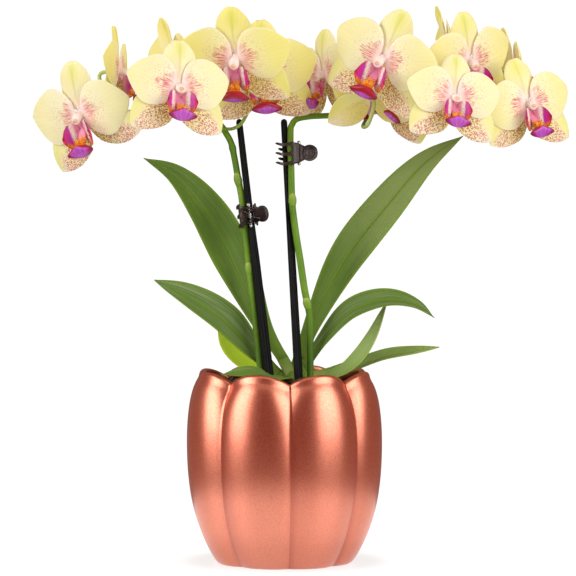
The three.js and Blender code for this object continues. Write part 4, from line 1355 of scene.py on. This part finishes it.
def stem_radius(t):
    return mix(STEM_FOOT, STEM_MIDDLE, 2 * t) if t < 0.5 else mix(STEM_MIDDLE, STEM_TOP, 2 * t - 1)


def stalk(name, rachis):
    """A bloom's own stalk, which leads from the rachis round to the bloom's back."""
    _, share, past = STALKS[name]
    matrix = bloom_matrix(name)
    size = BLOOMS[name][2]
    start = rachis.at(np.array(share))
    seat = STALK_SEAT * size + STALK_GAP
    end = matrix @ Vector((0, seat, 0))
    behind = matrix @ Vector((0, seat + STALK_BEHIND, -STALK_DROP))
    between = past or [mix(start, np.array(behind), 0.45) + np.array([0, 2, -2])]
    path = Curve([start, *between, behind, end])
    return tube(path, lambda t: STALK * mix(1, 1.25, t), 14 + 8 * len(between), 10)


def bract(curve, share, hand):
    """The small papery scale that clasps the spike at a node."""
    middle, forward = curve.at(np.array(share)), curve.forward(np.array(share))
    out = np.array([0.35 * hand, -0.94, 0])
    out = out / np.linalg.norm(out)
    across = unit(np.cross(forward, out))
    run = Curve([(-3, 1.8, 1.4), (-1, 2.3, 1.8), (1, 2.45, 1.85), (3, 2, 1.6), (5, 1.1, 0.9),
                 (6.3, 0.3, 0.3)])
    angle = round_angles(20)
    share = np.linspace(0, 1, 16)
    rings = [middle + forward * height + out * (0.8 + deep * np.sin(angle))[:, None]
             + across * (wide * np.cos(angle))[:, None] for height, wide, deep in run.at(share)]
    return skin(rings, along=share)


def swelling(curve, places, spread, t):
    return sum(math.exp(-((t - place) * curve.length / spread) ** 2) for place in places)


def build_spike(side):
    path, rachis, bracts = SPIKES[side]
    main, upper = Curve(path), Curve(rachis)
    knots = [share for share, _ in bracts] + BARE_NODES
    forks = [share for which, share, _ in STALKS.values() if which == side]

    def main_radius(t):
        return stem_radius(t) + NODE_SWELL * swelling(main, knots, NODE_SPREAD, t)

    def upper_radius(t):
        swell = min(swelling(upper, forks, FORK_SPREAD, t), FORK_MOST)
        return mix(STEM_TOP, STEM_TIP, t) + FORK_SWELL * swell

    parts = [(tube(main, main_radius, 150, 18), 0), (tube(upper, upper_radius, 130, 14), 0)]
    parts += [(bract(main, *where), 2) for where in bracts]
    parts += [(stalk(name, upper), 1) for name in STALKS if STALKS[name][0] == side]
    make(f"spike_{side}_stem", parts, finishes("stem", "stalk", "bract"),
         [f"spike_{side}"])


STICKS = {
    "left": [(-5.7, -13.6, 84), (-26.7, -5.5, 264)],
    "right": [(10.3, -16, 84), (0, -4.8, 264)],
}
STICK_RADII = {"left": [3.2, 2.95, 2.7, 2.2, 1.95], "right": [2.8, 2.5, 2.3, 2.15, 1.95]}
STICK_STATIONS, STICK_GROOVE, STICK_RIDGES = [0, 0.35, 0.55, 0.66, 1], 0.12, 8


def build_stake(side):
    foot, top = (np.array(p) for p in STICKS[side])
    path = Curve([foot, mix(foot, top, 0.33), mix(foot, top, 0.67), top])

    def radius(t):
        return float(np.interp(t, STICK_STATIONS, STICK_RADII[side]))

    rod = tube(path, radius, 40, 64, STICK_GROOVE, STICK_RIDGES)
    make(f"stake_{side}_rod", [(rod, 0)], finishes("stake"), [f"stake_{side}"])


for side_name in ("left", "right"):
    build_spike(side_name)
    build_stake(side_name)


# Claw clips

# Where each pin stands, its lean and heading, and how far from it the jaws grip.
CLIPS = {
    "left": ((-20.4, -13, 208.5), -7, -74, 4.65),
    "right": ((8.9, -7.8, 245.5), -1, 0, 4.5),
}

# The pin stands along z. The prongs reach to -x from it, and the pads to +x.
STRIP, TIP, PIN, PIN_HEAD, KNUCKLE, LUG, PRONG, PITCH = 1.3, 0.8, 0.6, 0.45, 1.9, 1.3, 2, 5.7
JAW_REACH, BLUNT_REACH, BLUNT, PLATE_END, COMB_START = 13.8, 12.2, 0.9, -3.9, -3.2
PAD_AT, PAD_RADIUS, PAD_RISE, BORE, PIN_HALF = 6.4, 4.9, 0.62, 0.9, 6.4
WAIST_AT, WAIST = [-4, 0.5, 3.5, PAD_AT], [6.9, 5.6, 4.1, 4.1]
FIXED_LUGS, MOVING_LUGS = (-2.7, 2.7), (-4.4, 4.4)
FIXED_PRONGS, MOVING_PRONGS = (-PITCH / 2, PITCH / 2), (-PITCH, 0, PITCH)
PAD_RINGS, BAR_AT, BAR_HALF, BAR_RADIUS = ((4.1, 0.75), (2.6, 0.4)), 0.85, 1.9, 0.6
COIL_TURNS, COIL_RADIUS, COIL_HALF, COIL_WIRE, LEG_WIRE = 5, 1.4, 1.35, 0.33, 0.35
FIXED_LEG = (0, COIL_RADIUS, -1.2), (5.6, 4.2, -2.4)
MOVING_LEG = (2.2, -1.2, 1.2), (5.8, -4.2, 2.4)


def clip_matrix(side):
    at, lean, heading, _ = CLIPS[side]
    return (Matrix.Translation(at) @ Matrix.Rotation(radians(lean), 4, "Y")
            @ Matrix.Rotation(radians(heading), 4, "Z"))


def ribbon(points, half_heights, centres, thick):
    """A bent bar: a rounded oblong section along a flat curve."""
    points = np.asarray(points)
    ways = unit(np.gradient(points, axis=0))
    normal = np.stack([-ways[:, 1], ways[:, 0]], axis=1)
    corner = round_angles(20)
    c, s = (np.sign(swing) * np.abs(swing) ** 0.35 for swing in (np.cos(corner), np.sin(corner)))
    rings = []
    for k in range(len(points)):
        shift = normal[k][None] * (thick[k] / 2 * c)[:, None]
        z = centres[k] + half_heights[k] * s
        rings.append(np.concatenate([points[k][None] + shift, z[:, None]], axis=1))
    return skin(rings)


def jaw(grip, prongs, lugs, hand):
    """A strip with a round pad, prongs that grip, lugs on the pin, and a raised ring and bars."""
    strip = Curve([(10.7, 7.6, 0), (6.4, 6.0, 0), (2.6, 4.1, 0), (0, 3.2, 0), (-3, grip + 0.2, 0),
                   (-6.5, grip + 0.65, 0), (-9.8, grip - 0.3, 0), (-12.4, 1.9, 0),
                   (-JAW_REACH, 0.4, 0)])
    t = np.linspace(0, 1, 160)
    run = strip.point(t)[:, :2] * np.array([1, hand])
    x = run[:, 0]
    thick = mix(STRIP, TIP, smooth(t, 0.6, 1))
    plate = x > PLATE_END
    round_pad = np.sqrt(np.maximum(PAD_RADIUS ** 2 - (x - PAD_AT) ** 2, 0.01))
    waist = np.interp(x, WAIST_AT, WAIST)
    half = np.where(x > PAD_AT, round_pad, np.maximum(waist, np.where(x > 1.6, round_pad, 0)))
    parts = [(ribbon(run[plate], half[plate], np.zeros(plate.sum()), thick[plate]), 0)]
    end = JAW_REACH if hand < 0 else BLUNT_REACH
    comb = (x < COMB_START) & (x > -end)
    blunt = np.sqrt(np.clip((end + x) / BLUNT, 0.05, 1))
    for height in prongs:
        slim = PRONG / 2 * (mix(1, 0.7, smooth(-x, 8, 13)) + 0.6 * smooth(x, -6, COMB_START)) * blunt
        bow = height - 0.6 * smooth(-x, 4, 8) + 0.9 * smooth(-x, 9.5, JAW_REACH)
        parts.append((ribbon(run[comb], slim[comb], bow[comb], thick[comb]), 0))
    parts += [(lug(height, hand), 0) for height in lugs]

    def on_pad(out, up):
        at = np.interp(PAD_AT + out, run[::-1, 0], run[::-1, 1] * hand)
        return (PAD_AT + out, hand * (at + PAD_RISE), up)

    for reach, bead in PAD_RINGS:
        ring = Curve([on_pad(reach * math.cos(a), reach * math.sin(a))
                      for a in np.linspace(0, 2 * math.pi, 17)])
        parts.append((tube(ring, lambda share: bead, 64, 8), 0))
    for out in (-BAR_AT, BAR_AT):
        bar = Curve([on_pad(out, up) for up in (-BAR_HALF, 0, BAR_HALF)])
        parts.append((tube(bar, lambda share: BAR_RADIUS, 10, 8), 0))
    return parts


def lug(height, hand):
    """An eye round the pin, with its arm from the strip."""
    angle = round_angles(40)
    rings = []
    for radius, level in ((BORE, -0.5), (KNUCKLE - 0.15, -0.5), (KNUCKLE, -0.36), (KNUCKLE, 0.36),
                          (KNUCKLE - 0.15, 0.5), (BORE, 0.5), (BORE, -0.5)):
        stretch = np.where((np.sin(angle) * hand > 0.5) & (radius > BORE), 1.75, 1)
        rings.append(ring_at(angle, radius, radius * stretch, height + level * LUG))
    return skin(rings, caps=False)


def coil():
    angle = np.linspace(0, 2 * np.pi * COIL_TURNS, 22 * COIL_TURNS)
    rise = np.linspace(-COIL_HALF, COIL_HALF, len(angle))
    points = np.stack([COIL_RADIUS * np.sin(angle), COIL_RADIUS * np.cos(angle), rise], axis=1)
    return tube(Curve(points), lambda t: COIL_WIRE, 260, 8)


def leg(start, end):
    start, end = np.array(start), np.array(end)
    return tube(Curve([start, mix(start, end, 0.5), end]), lambda t: LEG_WIRE, 6, 10)


def build_clip(side):
    grip = CLIPS[side][3]
    matrix = clip_matrix(side)

    def placed(parts):
        return [(part.moved(matrix), finish) for part, finish in parts]

    clip, steel = finishes("clip"), finishes("steel")
    make(f"clip_{side}_claw_moving", placed(jaw(grip, MOVING_PRONGS, MOVING_LUGS, -1)), clip,
         [f"clip_{side}_jaw_moving"], f"clip_{side}_jaw", sharp=45)
    make(f"clip_{side}_claw_fixed", placed(jaw(grip, FIXED_PRONGS, FIXED_LUGS, 1)), clip,
         [f"clip_{side}_jaw_fixed"], sharp=45)
    pin = tube(Curve([(0, 0, -PIN_HALF), (0, 0, 0), (0, 0, PIN_HALF)]),
               lambda t: PIN + PIN_HEAD * (abs(t - 0.5) > 0.44), 100, 20)
    make(f"clip_{side}_pin_rod", placed([(pin, 0)]), steel, [f"clip_{side}_pin"])
    spring = [(coil(), 0), (leg(*FIXED_LEG), 0)]
    make(f"clip_{side}_spring_coil", placed(spring), steel, [f"clip_{side}_spring"])
    make(f"clip_{side}_spring_arm", placed([(leg(*MOVING_LEG), 0)]), steel,
         [f"clip_{side}_spring_leg"], f"clip_{side}_jaw")


for side_name in CLIPS:
    build_clip(side_name)


def corners(box):
    return [[round(value, 6) for value in corner] for corner in box]
